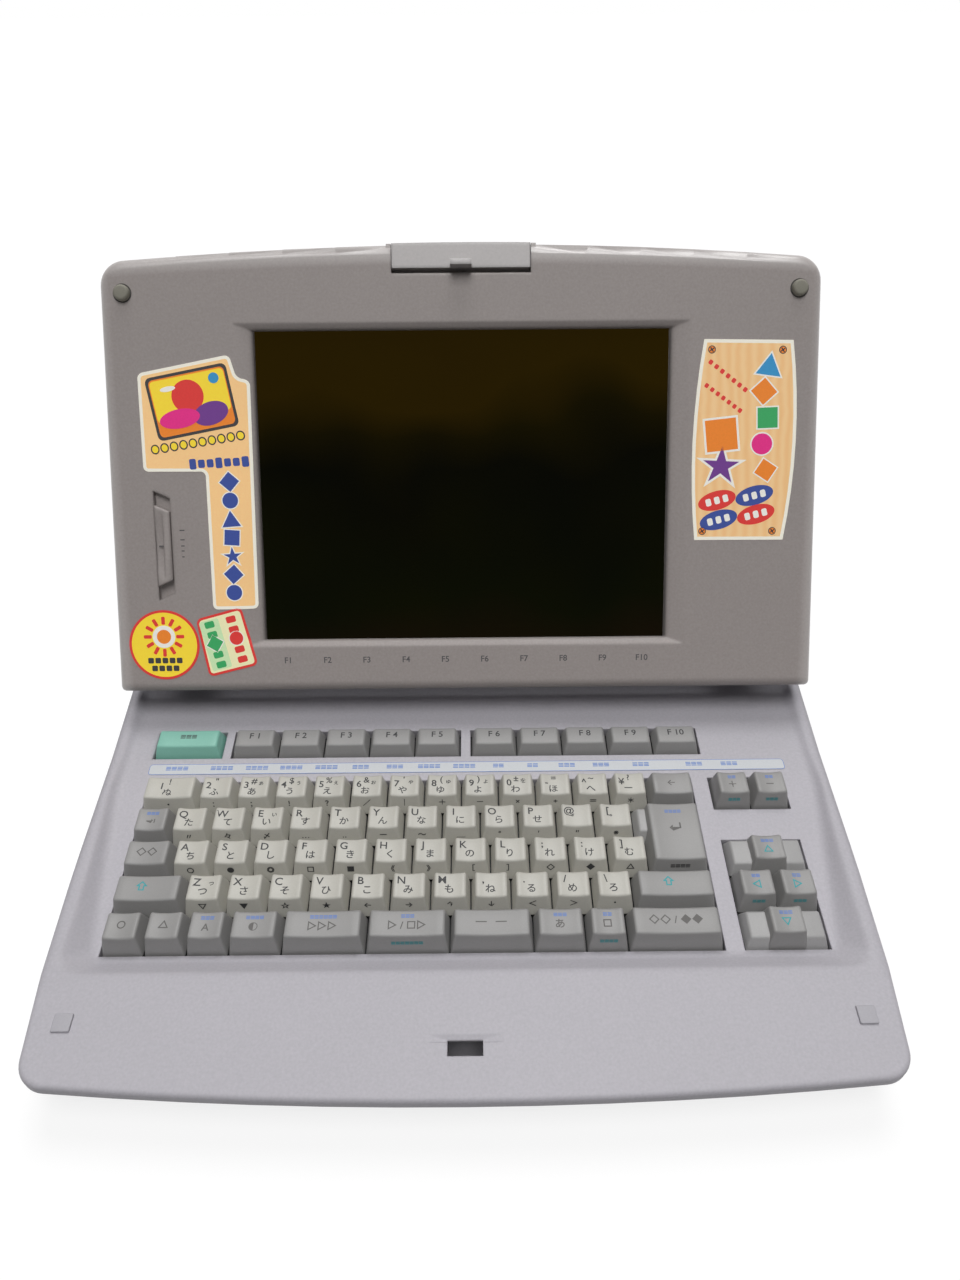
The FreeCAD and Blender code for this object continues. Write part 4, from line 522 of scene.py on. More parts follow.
left = BLOCK_LEFT
for place, (figure, shifted, second, small) in enumerate(FIGURES):
    width = PITCH * (1.5 if place == 0 else 1)
    tops = ((figure, LETTER_SIZE, FIGURE_PLACE), (shifted, SECOND_SIZE, SHIFTED_PLACE),
            (second, SECOND_SIZE, SYLLABLE_PLACE), (small, SMALL_SIZE, SMALL_PLACE))
    marks = dark_signs(tops, FIGURE_FRONTS[place], width)
    set_key("number_keys", light_key, left, 4 * PITCH, width, marks)
    left += width
set_key("backspace_key", grey_key, left, 4 * PITCH, 1.25 * PITCH, plain_signs("←", 1.25 * PITCH))

# ------------------------ letter rows
# Three rows of letter keys in warm white, with grey keys at their left ends and a grey
# shift key at each end of the lowest row.
UPPER_ROW = (("Q", "た"), ("W", "て"), ("E", "い"), ("R", "す"), ("T", "か"), ("Y", "ん"), ("U", "な"),
             ("I", "に"), ("O", "ら"), ("P", "せ"), ("@", "゛"), ("[", "゜"))
UPPER_FRONTS = "〃々〆…‥ー～＿°′″※"
HOME_ROW = (("A", "ち"), ("S", "と"), ("D", "し"), ("F", "は"), ("G", "き"), ("H", "く"), ("J", "ま"),
            ("K", "の"), ("L", "り"), (";", "れ"), (":", "け"), ("]", "む"))
HOME_FRONTS = "○●◎□■《》［］◇◆△"
LOWER_ROW = (("Z", "つ"), ("X", "さ"), ("C", "そ"), ("V", "ひ"), ("B", "こ"), ("N", "み"), ("M", "も"),
             (",", "ね"), (".", "る"), ("/", "め"), ("\\", "ろ"))
LOWER_FRONTS = "▽▼☆★←→↑↓＜＞・"

SMALL_SYLLABLES = {"E": "ぃ", "Z": "っ"}


def set_row(group, row, indent, letters, fronts):
    """Fill a row with letter keys, from so many key widths in."""
    for place, (letter, second) in enumerate(letters):
        tops = ((letter, LETTER_SIZE, LETTER_PLACE), (second, SECOND_SIZE, SECOND_PLACE),
                (SMALL_SYLLABLES.get(letter, ""), SMALL_SIZE, SMALL_PLACE))
        set_key(group, light_key, BLOCK_LEFT + (place + indent) * PITCH, row * PITCH, PITCH,
                dark_signs(tops, fronts[place]))


set_key("upper_letter_keys", grey_key, BLOCK_LEFT, 3 * PITCH, PITCH, plain_signs("⇥", PITCH, "≡≡≡"))
set_row("upper_letter_keys", 3, 1, UPPER_ROW, UPPER_FRONTS)
set_key("home_letter_keys", grey_key, BLOCK_LEFT, 2 * PITCH, 1.25 * PITCH, plain_signs("◇◇", 1.25 * PITCH))
set_row("home_letter_keys", 2, 1.25, HOME_ROW, HOME_FRONTS)
set_key("left_shift_key", grey_key, BLOCK_LEFT, PITCH, 1.75 * PITCH,
        [top_sign("⇧", 6.0, teal_ink, (-3, 1), 1.75 * PITCH)])
set_row("lower_letter_keys", 1, 1.75, LOWER_ROW, LOWER_FRONTS)
set_key("right_shift_key", grey_key, BLOCK_LEFT + 12.75 * PITCH, PITCH, 2 * PITCH,
        [top_sign("⇧", 6.0, teal_ink, (-3, 1), 2 * PITCH)])

# ------------------------ bottom row
# Grey keys of several widths for converting and choosing, with the space key among them
# and the wide key that carries a choice out at the right end.
BOTTOM_ROW = ((1, "○", "", ""), (1, "△", "", ""), (1, "A", "≡≡≡", ""), (1.25, "◐", "≡≡≡≡", ""),
              (2, "▷▷▷", "≡≡≡≡≡≡", ""), (2, "▷ / □▷", "≡≡≡", "≡≡≡≡≡≡≡"), (2, "―   ―", "", ""),
              (1.25, "あ", "≡≡≡", ""), (1, "□", "≡≡", "≡≡≡≡"), (2.25, "◇◇ / ◆◆", "", ""))
BOTTOM_GROUPS = {6: "space_key", 9: "execute_key"}

left = BLOCK_LEFT
for place, (units, main, upper, front) in enumerate(BOTTOM_ROW):
    set_key(BOTTOM_GROUPS.get(place, "bottom_row_keys"), grey_key, left, 0, units * PITCH,
            plain_signs(main, units * PITCH, upper, front))
    left += units * PITCH

# ------------------------ return and arrow keys
# The tall return key has a low shelf along its left side. The arrow keys and the two edit
# keys stand in a block of their own; up and down rise from a shelf as wide as two keys.
CLUSTER_MIDDLE = CLUSTER_LEFT + PITCH
RETURN_WIDTH, RETURN_SHELF = 1.5 * PITCH, 1.75 * PITCH
RETURN_LEFT = BLOCK_LEFT + 13.25 * PITCH

set_key("return_key", grey_key, RETURN_LEFT, 2 * PITCH, RETURN_WIDTH,
        [top_sign("↵", 7.0, pale_ink, (0, 2), RETURN_WIDTH),
         top_sign("≡≡≡≡", ROW_SIZE, blue_ink, (0, 11.5), RETURN_WIDTH),
         front_sign("≡≡≡≡", FRONT_SIZE, dark_ink, 2 * PITCH)], 2 * PITCH)
# Low shelf of the return key in the lighter copy of grey: painted light.
set_key("return_key", lit_shelf_key, RETURN_LEFT - 0.25 * PITCH, 3 * PITCH, RETURN_SHELF, (), PITCH, SHELF_TOP, 0)
for place, main in enumerate("＋－"):
    set_key("edit_keys", grey_key, CLUSTER_LEFT + place * PITCH, 4 * PITCH, PITCH,
            plain_signs(main, PITCH, "≡≡", "≡≡≡"))
# The shelves of up and down are painted lighter than their grey caps: painted light.
for group, row, main in (("up_key", 2, "△"), ("down_key", 0, "▽")):
    set_key(group, lit_shelf_key, CLUSTER_LEFT, row * PITCH, 2 * PITCH, (), PITCH, SHELF_TOP, 0)
    set_key(group, grey_key, CLUSTER_MIDDLE - PITCH / 2, row * PITCH, PITCH,
            plain_signs(main, PITCH, "≡≡≡", "", teal_ink))
for group, place, main in (("left_key", 0, "◁"), ("right_key", 1, "▷")):
    set_key(group, grey_key, CLUSTER_LEFT + place * PITCH, PITCH, PITCH,
            plain_signs(main, PITCH, "≡≡", "≡≡≡", teal_ink))

# ------------------------ menu and function keys
# A wide mint green key and ten low grey ones in two blocks of five, behind the printed
# strip. Their tops are nearly flat and they carry plain numbers.
FUNCTION_FRONT, FUNCTION_DEPTH, FUNCTION_TOP = 111.5, 17.0, 6.0
FUNCTION_PITCH, FUNCTION_DISH, LABEL_SIZE = 24.3, 0.2, 5.2
FUNCTION_LEFTS = (BLOCK_LEFT + 39.1, BLOCK_LEFT + 166.7)
MENU_LEFT, MENU_WIDTH, MENU_DISH = BLOCK_LEFT - 2.3, 36.0, 0.25

set_key("menu_key", mint_key, MENU_LEFT, FUNCTION_FRONT, MENU_WIDTH,
        [top_sign("≡≡≡", LABEL_SIZE, dark_ink, (0, 1.2), MENU_WIDTH, FUNCTION_TOP, MENU_DISH)],
        FUNCTION_DEPTH, FUNCTION_TOP, MENU_DISH)
for number in range(10):
    label = top_sign("F %d" % (number + 1), LABEL_SIZE, dark_ink, (0, 1.4), FUNCTION_PITCH, FUNCTION_TOP,
                     FUNCTION_DISH)
    set_key("function_keys", grey_key, FUNCTION_LEFTS[number // 5] + number % 5 * FUNCTION_PITCH,
            FUNCTION_FRONT, FUNCTION_PITCH, [label], FUNCTION_DEPTH, FUNCTION_TOP, FUNCTION_DISH)

KEY_SLOTS = {light_key.name: "light_key_plastic", mint_key.name: "mint_key_plastic"}
for master in key_masters.values():
    choose(master)
    bpy.ops.object.delete()
for group, caps in key_groups.items():
    finish = KEY_SLOTS.get(caps[-1].data.materials[0].name, "grey_key_plastic")
    body = group + "_body"
    place_on(united(group + "_caps", caps), DECK, body, finish, group)
    if group in sign_groups:
        place_on(united(group + "_signs", sign_groups[group]), DECK, body, finish)

# ------------------------ legend strip and stop pads
# Thin white strip printed with blue marks, stuck on the deck behind the figure keys, and two
# soft square pads on the palm rest on which the closed lid's bumpers land.
STRIP_FRONT, STRIP_DEPTH, STRIP_TOP = 100.5, 6.7, 0.3
STRIP_CORNER, STRIP_LINE = 1.6, 0.25
STRIP_SIGN, STRIP_SPREAD, STRIP_STEP, STRIP_RISE = 5.2, 0.012, 3.0, 0.3
STRIP_GROUPS = ((-152, 4), (-128.5, 4), (-110, 4), (-92, 4), (-73.5, 4), (-55.5, 3), (-37.5, 3), (-19.5, 4),
                (-1, 4), (17, 2), (35, 2), (53, 3), (71, 3), (92, 3), (120, 3), (138.5, 3))
PAD_CELL, PAD_SIZE, PAD_FLOOR, PAD_HEIGHT, PAD_ROUND = 9.0, 7.8, 8.0, 1.2, 0.45

strip_paper = moulded("strip_plastic", (0.52, 0.54, 0.56), 0.45, 0.0005, 0.05, 0.02)
strip_left, strip_right = (corner[0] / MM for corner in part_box("legend_strip"))
strip = block("strip_sheet", (strip_left, STRIP_FRONT, 0),
              (strip_right, STRIP_FRONT + STRIP_DEPTH, STRIP_TOP))
round_edges(strip, lambda middle, along: abs(along.z) > UPRIGHT, STRIP_CORNER, 4)
pick(strip, "FACE", lambda middle, normal: normal.z > UPRIGHT)
bpy.ops.mesh.inset(thickness=STRIP_LINE * MM)
bpy.ops.object.mode_set(mode="OBJECT")
strip.data.materials.append(strip_paper)
strip.data.materials.append(blue_ink)
for face in strip.data.polygons:
    face.material_index = 0 if face.select or face.normal.z < UPRIGHT else 1
place_on(strip, DECK, "base", "strip_plastic", "legend_strip")
marks = []
for middle, count in STRIP_GROUPS:
    for step in range(count):
        mark = sign("≡", STRIP_SIGN, blue_ink, STRIP_SPREAD)
        across = middle + (step - (count - 1) / 2) * STRIP_STEP
        along = STRIP_FRONT + STRIP_DEPTH / 2 + STRIP_RISE
        mark.location = Vector((across, along, STRIP_TOP + INK_LIFT)) * MM
        marks.append(settle(mark))
place_on(united("strip_marks", marks), DECK, "base", "strip_plastic")

pad_low, pad_high = (DECK.inverted() @ Vector(corner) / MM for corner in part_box("stop_pads"))
pad_paint = moulded("pad_plastic", (0.385, 0.375, 0.405), 0.6, 0.0005, 0.1, 0.02)
pads = []
for side in (-1, 1):
    middle = Vector((side * (pad_high.x - pad_low.x - PAD_CELL) / 2, (pad_low.y + pad_high.y) / 2, PAD_FLOOR))
    pad = block("stop_pad", middle - Vector((PAD_SIZE / 2, PAD_SIZE / 2, 0)),
                middle + Vector((PAD_SIZE / 2, PAD_SIZE / 2, PAD_HEIGHT)))
    round_edges(pad, lambda place, along: place.z > (PAD_FLOOR + TOUCH) * MM, PAD_ROUND)
    pad.data.materials.append(pad_paint)
    pads.append(smooth(pad))
place_on(united("stop_pad_pair", pads), DECK, "base", "case_plastic", "stop_pads")

# ------------------------ lid shells
# Front bezel of the lid, moulded in a warmer and darker grey than the case, with the screen sunk
# in a bevelled recess, and its back shell in the case's own plastic. The bezel's rim and the
# latch bar are worn smooth by hands. The keys' numbers and the slider's scale are printed on.
LID_GREY, LATCH_GREY = (0.326, 0.291, 0.279), (0.400, 0.375, 0.370)
FACE = 13.1
LID_SIDE, LID_HEAD, LID_ARCH = 0.1770, 204.0, 0.17
GLOSS_FADE, GLOSS_ROUGHNESS, GLOSS_IOR = 0.0040, 0.35, 1.8
LABEL_LEFT, LABEL_STEP, LABEL_RISE, LABEL_HEIGHT = -94.3, 20.93, 3.0, 4.5
TICKS = ((72.5, 2.6), (67.6, 2.2), (64.4, 1.8), (61.8, 1.5), (58.7, 1.2))
TICK_ACROSS, TICK_HEIGHT = -147.1, 0.6


def gloss(paint, weight=1):
    """Give a handled plastic a smooth sheen, all over or by a weight."""
    wire(inside(paint)[1], {"Coat Weight": weight, "Coat Roughness": GLOSS_ROUGHNESS, "Coat IOR": GLOSS_IOR})


def gloss_rim(paint):
    """Sheen near the lid's bowed top edge and its sides only."""
    tree = paint.node_tree
    along = LID.to_3x3() @ Vector((0, 1, 0))
    side, reach = reach_of(tree, along)
    drop = math_node(tree, "MULTIPLY", math_node(tree, "POWER", side, 2), LID_ARCH)
    above = math_node(tree, "SUBTRACT", math_node(tree, "ADD", reach, drop), LID_HEAD * MM + along.dot(HINGE))
    beyond = math_node(tree, "SUBTRACT", side, LID_SIDE)
    fade = math_node(tree, "MULTIPLY", math_node(tree, "MAXIMUM", above, beyond), 1 / GLOSS_FADE)
    fade.node.use_clamp = True
    gloss(paint, fade)


def on_face(made, place, lift=INK_LIFT):
    """Set a flat piece on the front of the lid."""
    made.location = Vector((place[0], place[1], FACE + lift)) * MM
    return settle(made)


lid_plastic = moulded("lid_plastic", LID_GREY, 0.48, 0.0008, soften=0.0020, fleck=0.14)
gloss_rim(lid_plastic)
coat(("lid_bezel",), lid_plastic)
latch_plastic = moulded("latch_plastic", LATCH_GREY, 0.45, 0.0008, soften=0.0022, fleck=0.10)
gloss(latch_plastic)
coat(("latch_bar",), latch_plastic)
coat(("lid_back_shell",), case_plastic)
print_grey = printing_ink("lid_print", (0.085, 0.08, 0.085))

labels = [on_face(sign("F%d" % (number + 1), LABEL_HEIGHT, print_grey),
                  (LABEL_LEFT + LABEL_STEP * number, LABEL_RISE)) for number in range(10)]
for rise, wide in TICKS:
    bpy.ops.mesh.primitive_plane_add(size=1)
    tick = bpy.context.object
    tick.scale = (wide * MM, TICK_HEIGHT * MM, 1)
    tick.data.materials.append(print_grey)
    labels.append(on_face(tick, (TICK_ACROSS, rise)))
place_on(united("lid_figures", labels), LID, "lid", "lid_plastic")

# ------------------------ screen
# Unlit liquid crystal panel behind a satin filter: nearly black, with a brown and green
# cast that wanders over it. The glass is held behind the bezel's edges.
GLASS_TONES = ((0.40, (0.0030, 0.0042, 0.0010, 1)), (0.75, (0.0016, 0.0020, 0.0008, 1)),
               (0.88, (0.0080, 0.0060, 0.0005, 1)))
GLASS_FOOT, GLASS_HEAD = (0.10, (0.0110, 0.0055, 0.0030, 1)), (1.0, (0.0260, 0.0150, 0.0008, 1))
CAST_PATCH, CAST_SWAY, BLOTCH_PATCH = 0.07, 0.45, 0.05
BLOTCH_TONES = (0.0, 0.0, 0.0006), (0.0032, 0.0024, 0.0)
GLASS_ROUGHNESS, GLASS_SHINE, GLASS_ETCHING = 0.32, 0.01, (0.0004, 0.05, 0.00005)


def filter_glass():
    """Dark satin glass: brown at the foot, black in the middle, greenish brown at the head."""
    paint, tree, shader = fresh("screen_glass")
    place = node(tree, "SeparateXYZ", {0: object_place(tree)}).outputs["Z"]
    low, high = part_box("lcd_panel")
    height = node(tree, "MapRange", {"From Min": low[2], "From Max": high[2], "Value": place}).outputs[0]
    sway = math_node(tree, "MULTIPLY_ADD", noise(tree, CAST_PATCH, 1), CAST_SWAY, height)
    cast = node(tree, "ValToRGB", {0: sway})
    foot, head = cast.color_ramp.elements
    foot.position, foot.color = GLASS_FOOT
    head.position, head.color = GLASS_HEAD
    for position, tone in GLASS_TONES:
        cast.color_ramp.elements.new(position).color = tone
    blotch = mixed(tree, noise(tree, BLOTCH_PATCH, 1), *BLOTCH_TONES)
    wire(shader, {"Base Color": blended(tree, "ADD", cast.outputs[0], blotch),
                  "Roughness": GLASS_ROUGHNESS, "Specular IOR Level": GLASS_SHINE})
    roughen(tree, shader, *GLASS_ETCHING)
    return paint


coat(("lcd_panel",), filter_glass())

# ------------------------ lid bumpers
# Two soft round pegs near the top corners of the lid, domed, each pushed into a shallow
# seat whose shade is painted as a thin dark ring round it.
BUMPER_RADIUS, BUMPER_HEIGHT, BUMPER_DOME = 4.0, 2.9, 1.5
SHADE_RING_MARGIN, SHADE_RING_HEIGHT, ROUND_SIDES = 0.7, 0.12, 48

bumper_rubber = moulded("bumper_rubber", (0.235, 0.225, 0.185), 0.7, 0.0005, 0.3, 0.06)
# Near black for the painted shade round each bumper's foot.
painted_seat_shade = moulded("bumper_seat_painted_shade", (0.07, 0.065, 0.06), 0.8, 0.0005, 0.1, 0.05)
bumper_low, bumper_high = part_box("lid_bumpers")
bumper_rise = (LID.inverted() @ ((Vector(bumper_low) + Vector(bumper_high)) / 2)).y / MM
bumper_offset = (bumper_high[0] - bumper_low[0]) / 2 / MM - BUMPER_RADIUS
bumpers = []
for side in (-1, 1):
    middle = Vector((side * bumper_offset, bumper_rise, FACE)) * MM
    bpy.ops.mesh.primitive_cylinder_add(vertices=ROUND_SIDES, radius=BUMPER_RADIUS * MM,
                                        depth=BUMPER_HEIGHT * MM,
                                        location=middle + Vector((0, 0, BUMPER_HEIGHT / 2 * MM)))
    peg = settle(bpy.context.object)
    round_edges(peg, lambda place, along: place.z > (FACE + BUMPER_HEIGHT - TOUCH) * MM, BUMPER_DOME, 6)
    peg.data.materials.append(bumper_rubber)
    bumpers.append(smooth(peg, 50))
    # Thin dark disc round the peg: painted shade of its shallow seat.
    bpy.ops.mesh.primitive_cylinder_add(vertices=ROUND_SIDES, radius=(BUMPER_RADIUS + SHADE_RING_MARGIN) * MM,
                                        depth=SHADE_RING_HEIGHT * MM, location=middle)
    ring = bpy.context.object
    ring.data.materials.append(painted_seat_shade)
    bumpers.append(settle(ring))
place_on(united("bumper_pegs", bumpers), LID, "lid", "bumper_rubber", "lid_bumpers")

# ------------------------ contrast slider
# Long moulded thumb piece in its slanted recess, hollowed for the thumb, with a short dark
# index line cut in its middle. It slides along the recess.
KNOB = Vector((-156.8, 64.4, 0))
KNOB_LENGTH, KNOB_WIDTH, KNOB_SLANT, KNOB_EDGE = 42.5, 7.6, 3.42, 0.5
KNOB_FLOOR, KNOB_HEAD = FACE - 2.8, FACE + 1.6
THUMB_RADIUS, THUMB_WIDTH, THUMB_TILT, THUMB_FLOOR, THUMB_SIDES = 95.0, 30.0, 9.0, FACE + 0.95, 160
INDEX_LENGTH, INDEX_WIDTH, INDEX_FLOOR, INDEX_HEAD = 4.6, 0.7, -0.3, 0.06

knob = block("contrast_thumb", KNOB + Vector((-KNOB_WIDTH / 2, -KNOB_LENGTH / 2, KNOB_FLOOR)),
             KNOB + Vector((KNOB_WIDTH / 2, KNOB_LENGTH / 2, KNOB_HEAD)))
for end in (-1, 1):
    pick(knob, "VERT", lambda place, normal: place.x > KNOB.x * MM and (place.y - KNOB.y * MM) * end > 0)
    bpy.ops.transform.translate(value=(0, -end * KNOB_SLANT * MM, 0))
round_edges(knob, lambda place, along: place.z > (KNOB_HEAD - TOUCH) * MM, KNOB_EDGE)
bpy.ops.object.select_all(action="DESELECT")
bpy.ops.mesh.primitive_cylinder_add(vertices=THUMB_SIDES, radius=THUMB_RADIUS * MM, depth=THUMB_WIDTH * MM,
                                    location=(KNOB + Vector((0, 0, THUMB_FLOOR + THUMB_RADIUS))) * MM,
                                    rotation=(0, math.radians(90 + THUMB_TILT), 0))
thumb = settle(bpy.context.object)
choose(knob)
hollow = knob.modifiers.new("hollow", "BOOLEAN")
hollow.operation = "DIFFERENCE"
hollow.object = thumb
bpy.ops.object.modifier_apply(modifier="hollow")
choose(thumb)
bpy.ops.object.delete()
knob.data.materials.append(lid_plastic)
index = block("contrast_index", (-INDEX_LENGTH / 2, -INDEX_WIDTH / 2, INDEX_FLOOR),
              (INDEX_LENGTH / 2, INDEX_WIDTH / 2, INDEX_HEAD))
index.rotation_euler = (0, math.radians(THUMB_TILT), 0)
index.location = (KNOB + Vector((0, 0, THUMB_FLOOR))) * MM
settle(index)
index.data.materials.append(print_grey)
place_on(united("contrast_thumb", [smooth(knob, 30), index]), LID, "contrast_slider", "lid_plastic",
         "contrast_knob")

# ------------------------ stickers
# Four printed paper stickers with pale or red borders: an L-shaped one and a barrel-shaped
# one beside the screen, a round one and a small slanted one below. The prints are plain shapes.
PAPER, PRINT_LIFT, OUTLINE = 0.2, 0.03, 0.05
# Strength of the painted glow of sticker paper and print, which makes them look brighter than the lamps light
# them.
PAINTED_PAPER_GLOW = 0.2
WOOD_GRAIN = {"Scale": 60, "Distortion": 3.5, "Detail": 2}
WOOD_TONES = (0.83, 0.51, 0.23), (0.89, 0.58, 0.29)
SPOT_SIDES, ARC_STEPS = 40, 8
RECESS_EDGE, RECESS_FOOT, RECESS_SIDE, RECESS_END, RECESS_DEPTH = -116.1, 10.6, 10.5, 3.6, 2.5
ELL = ((-165.5, 152.0), (-118.5, 161.0), (-115.2, 149.6), (-108.7, 148.4), (-109.2, 31.0), (-132.8, 30.8),
       (-133.2, 102.6), (-165.2, 102.8))
CARD, CARD_TURN = (-138.4, 137.6), 10.8
BARREL_LEFT, BARREL_RIGHT = ((123.2, 166.8), (120.6, 65.2), -3.4), ((166.9, 65.0), (168.6, 166.0), 4.0)
DISC_MIDDLE, DISC_RADIUS, DISC_SIDES = (-159.7, 12.1), 18.6, 60
SUN = (DISC_MIDDLE[0], DISC_MIDDLE[1] + 4.4)
PLATE = ((-142.4, 25.6), (-118.2, 32.0), (-110.4, 1.0), (-136.6, -5.4))
PLATE_MIDDLE, PLATE_TURN = (-126.9, 13.4), 14


def add_painted_glow(paint):
    """Painted glow: print and paper give off a little light of their own colour, so they look brighter than
    the lamps make them.
    """
    shader = inside(paint)[1]
    tone = shader.inputs["Base Color"].links[0].from_socket
    wire(shader, {"Emission Color": tone, "Emission Strength": PAINTED_PAPER_GLOW})
    return paint


def printed(name, colour, mottle=0.04, roughness=0.45):
    """Ink or stock of a sticker, with the painted glow."""
    return add_painted_glow(moulded(name, colour, roughness, 0.0006, 0.05, mottle))


border_paper = printed("sticker_border", (0.88, 0.85, 0.74), 0.02, 0.4)
peach_paper = printed("sticker_peach", (0.92, 0.58, 0.26), 0.06, 0.4)
yellow_paper = printed("sticker_yellow", (0.92, 0.68, 0.04), 0.02, 0.4)
cream_paper = printed("sticker_cream", (0.84, 0.80, 0.48), 0.03, 0.4)
lime_paper = printed("sticker_lime", (0.56, 0.76, 0.44), 0.03, 0.4)
red_ink = printed("red_ink", (0.66, 0.035, 0.03))
green_ink = printed("green_ink", (0.03, 0.33, 0.10))
purple_ink = printed("purple_ink", (0.13, 0.03, 0.22))
pink_ink = printed("pink_ink", (0.72, 0.02, 0.22))
navy_ink = printed("navy_ink", (0.03, 0.06, 0.27))
orange_ink = printed("orange_ink", (0.80, 0.22, 0.02))
white_ink = printed("white_ink", (0.84, 0.82, 0.76), 0.02)
sky_ink = printed("sky_ink", (0.03, 0.26, 0.52))
prints = []


def wood_print():
    """Printed board with long pale grain lines, with the painted glow."""
    paint = moulded("sticker_wood", (0.86, 0.54, 0.25), 0.4, 0.0006, 0.05, 0.05)
    tree, shader = inside(paint)
    grain = node(tree, "TexWave", {**WOOD_GRAIN, "Vector": object_place(tree)}, bands_direction="X")
    wire(shader, {"Base Color": mixed(tree, grain.outputs["Fac"], *WOOD_TONES)})
    return add_painted_glow(paint)


def about(middle, across, along=0.0, turn=0.0):
    """Place so far across and along from a middle, on axes turned by an angle in degrees."""
    sine, cosine = math.sin(math.radians(turn)), math.cos(math.radians(turn))
    return middle[0] + across * cosine - along * sine, middle[1] + across * sine + along * cosine


def bulged(start, end, bulge):
    """Points of a shallow arc from one corner to the next."""
    start, end = Vector(start), Vector(end)
    shares = [step / ARC_STEPS for step in range(ARC_STEPS + 1)]
    return [start.lerp(end, share) + Vector((4 * bulge * share * (1 - share), 0)) for share in shares]


def paper(points, corner, border, edge_paint, fill_paint):
    """Paper cut to an outline, with rounded corners and a border of its own colour."""
    bpy.ops.mesh.primitive_circle_add(vertices=len(points), fill_type="NGON")
    made = bpy.context.object
    for vertex, place in zip(made.data.vertices, points):
        vertex.co = Vector((*place, 0)) * MM
    if corner:
        pick(made, "VERT", whole)
        bpy.ops.mesh.bevel(offset=corner * MM, segments=5, affect="VERTICES")
    pick(made, "FACE", whole)
    bpy.ops.mesh.normals_make_consistent(inside=False)
    bpy.ops.object.mode_set(mode="OBJECT")
    if made.data.polygons[0].normal.z < 0:
        made.data.flip_normals()
    pick(made, "FACE", whole)
    bpy.ops.mesh.inset(thickness=border * MM)
    bpy.ops.object.mode_set(mode="OBJECT")
    made.data.materials.append(edge_paint)
    made.data.materials.append(fill_paint)
    for face in made.data.polygons:
        face.material_index = 1 if face.select else 0
    pick(made, "FACE", whole)
    bpy.ops.mesh.extrude_region_move(TRANSFORM_OT_translate={"value": (0, 0, PAPER * MM)})
    bpy.ops.mesh.select_all(action="SELECT")
    bpy.ops.mesh.normals_make_consistent(inside=False)
    bpy.ops.object.mode_set(mode="OBJECT")
    prints.append(on_face(made, (0, 0), 0))


def lay(made, place, turn, layer):
    """Turn a print and lay it on a sticker; a higher layer lies on a lower one."""
    made.rotation_euler = (0, 0, math.radians(turn))
    prints.append(on_face(made, place, PAPER + PRINT_LIFT * layer))


def patch(ink, place, width, height, corner=0.3, turn=0.0, layer=1):
    """Printed rectangle with rounded corners."""
    bpy.ops.mesh.primitive_plane_add(size=1)
    made = bpy.context.object
    made.scale = (width * MM, height * MM, 1)
    settle(made)
    pick(made, "FACE", whole)
    bpy.ops.mesh.bevel(offset=min(width, height) * corner * MM, segments=4, affect="VERTICES")
    bpy.ops.object.mode_set(mode="OBJECT")
    made.data.materials.append(ink)
    lay(made, place, turn, layer)


def spot(ink, place, width, height, turn=0.0, layer=1):
    """Printed disc or oval."""
    bpy.ops.mesh.primitive_circle_add(vertices=SPOT_SIDES, radius=0.5, fill_type="NGON")
    made = bpy.context.object
    made.scale = (width * MM, height * MM, 1)
    made.data.materials.append(ink)
    lay(made, place, turn, layer)


def motif(shape, size, ink, place, turn=0.0, layer=1):
    """Large printed shape with a pale outline."""
    for level, spread, paint in ((layer, OUTLINE, white_ink), (layer + 1, 0.0, ink)):
        lay(sign(shape, size, paint, spread), place, turn, level)


# L-shaped sticker: a framed view of two plain hills and a sun, a row of dots, a row of
# blocks, and a column of large plain shapes.
paper(ELL, 2.6, 1.6, border_paper, peach_paper)
patch(dark_ink, CARD, 42.5, 32.0, 0.09, CARD_TURN)
patch(orange_ink, CARD, 39.5, 29.0, 0.08, CARD_TURN, 2)
patch(yellow_paper, about(CARD, -0.6, 3.2), 38.6, 21.0, 0.1, CARD_TURN, 3)
spot(red_ink, about(CARD, -2.0, 3.0), 16.5, 16.5, 0, 4)
spot(purple_ink, about(CARD, 9.5, -5.6), 18.5, 11.5, CARD_TURN + 8, 5)
spot(pink_ink, about(CARD, -6.5, -8.2), 21.0, 9.6, CARD_TURN, 6)
spot(white_ink, about(CARD, -12.0, 6.6), 8.0, 2.6, CARD_TURN, 5)
spot(sky_ink, about(CARD, 11.6, 12.0), 5.4, 5.4, 0, 5)
for step in range(10):
    place = (-158.5 + 4.9 * step, 114.0 + 0.75 * step)
    spot(dark_ink, place, 4.5, 5.0, 10)
    spot(yellow_paper, place, 3.1, 3.6, 10, 2)
for step in range(7):
    patch(navy_ink, (-139.6 + 4.5 * step, 106.4 + 0.2 * step), 3.5, 4.2 if step % 3 else 5.4, 0.25, 4)
for step, shape in enumerate("◆●▲■★◆●"):
    motif(shape, 10.8, navy_ink, (-121.2, 96.6 - 9.6 * step), 4 * (-1) ** step)

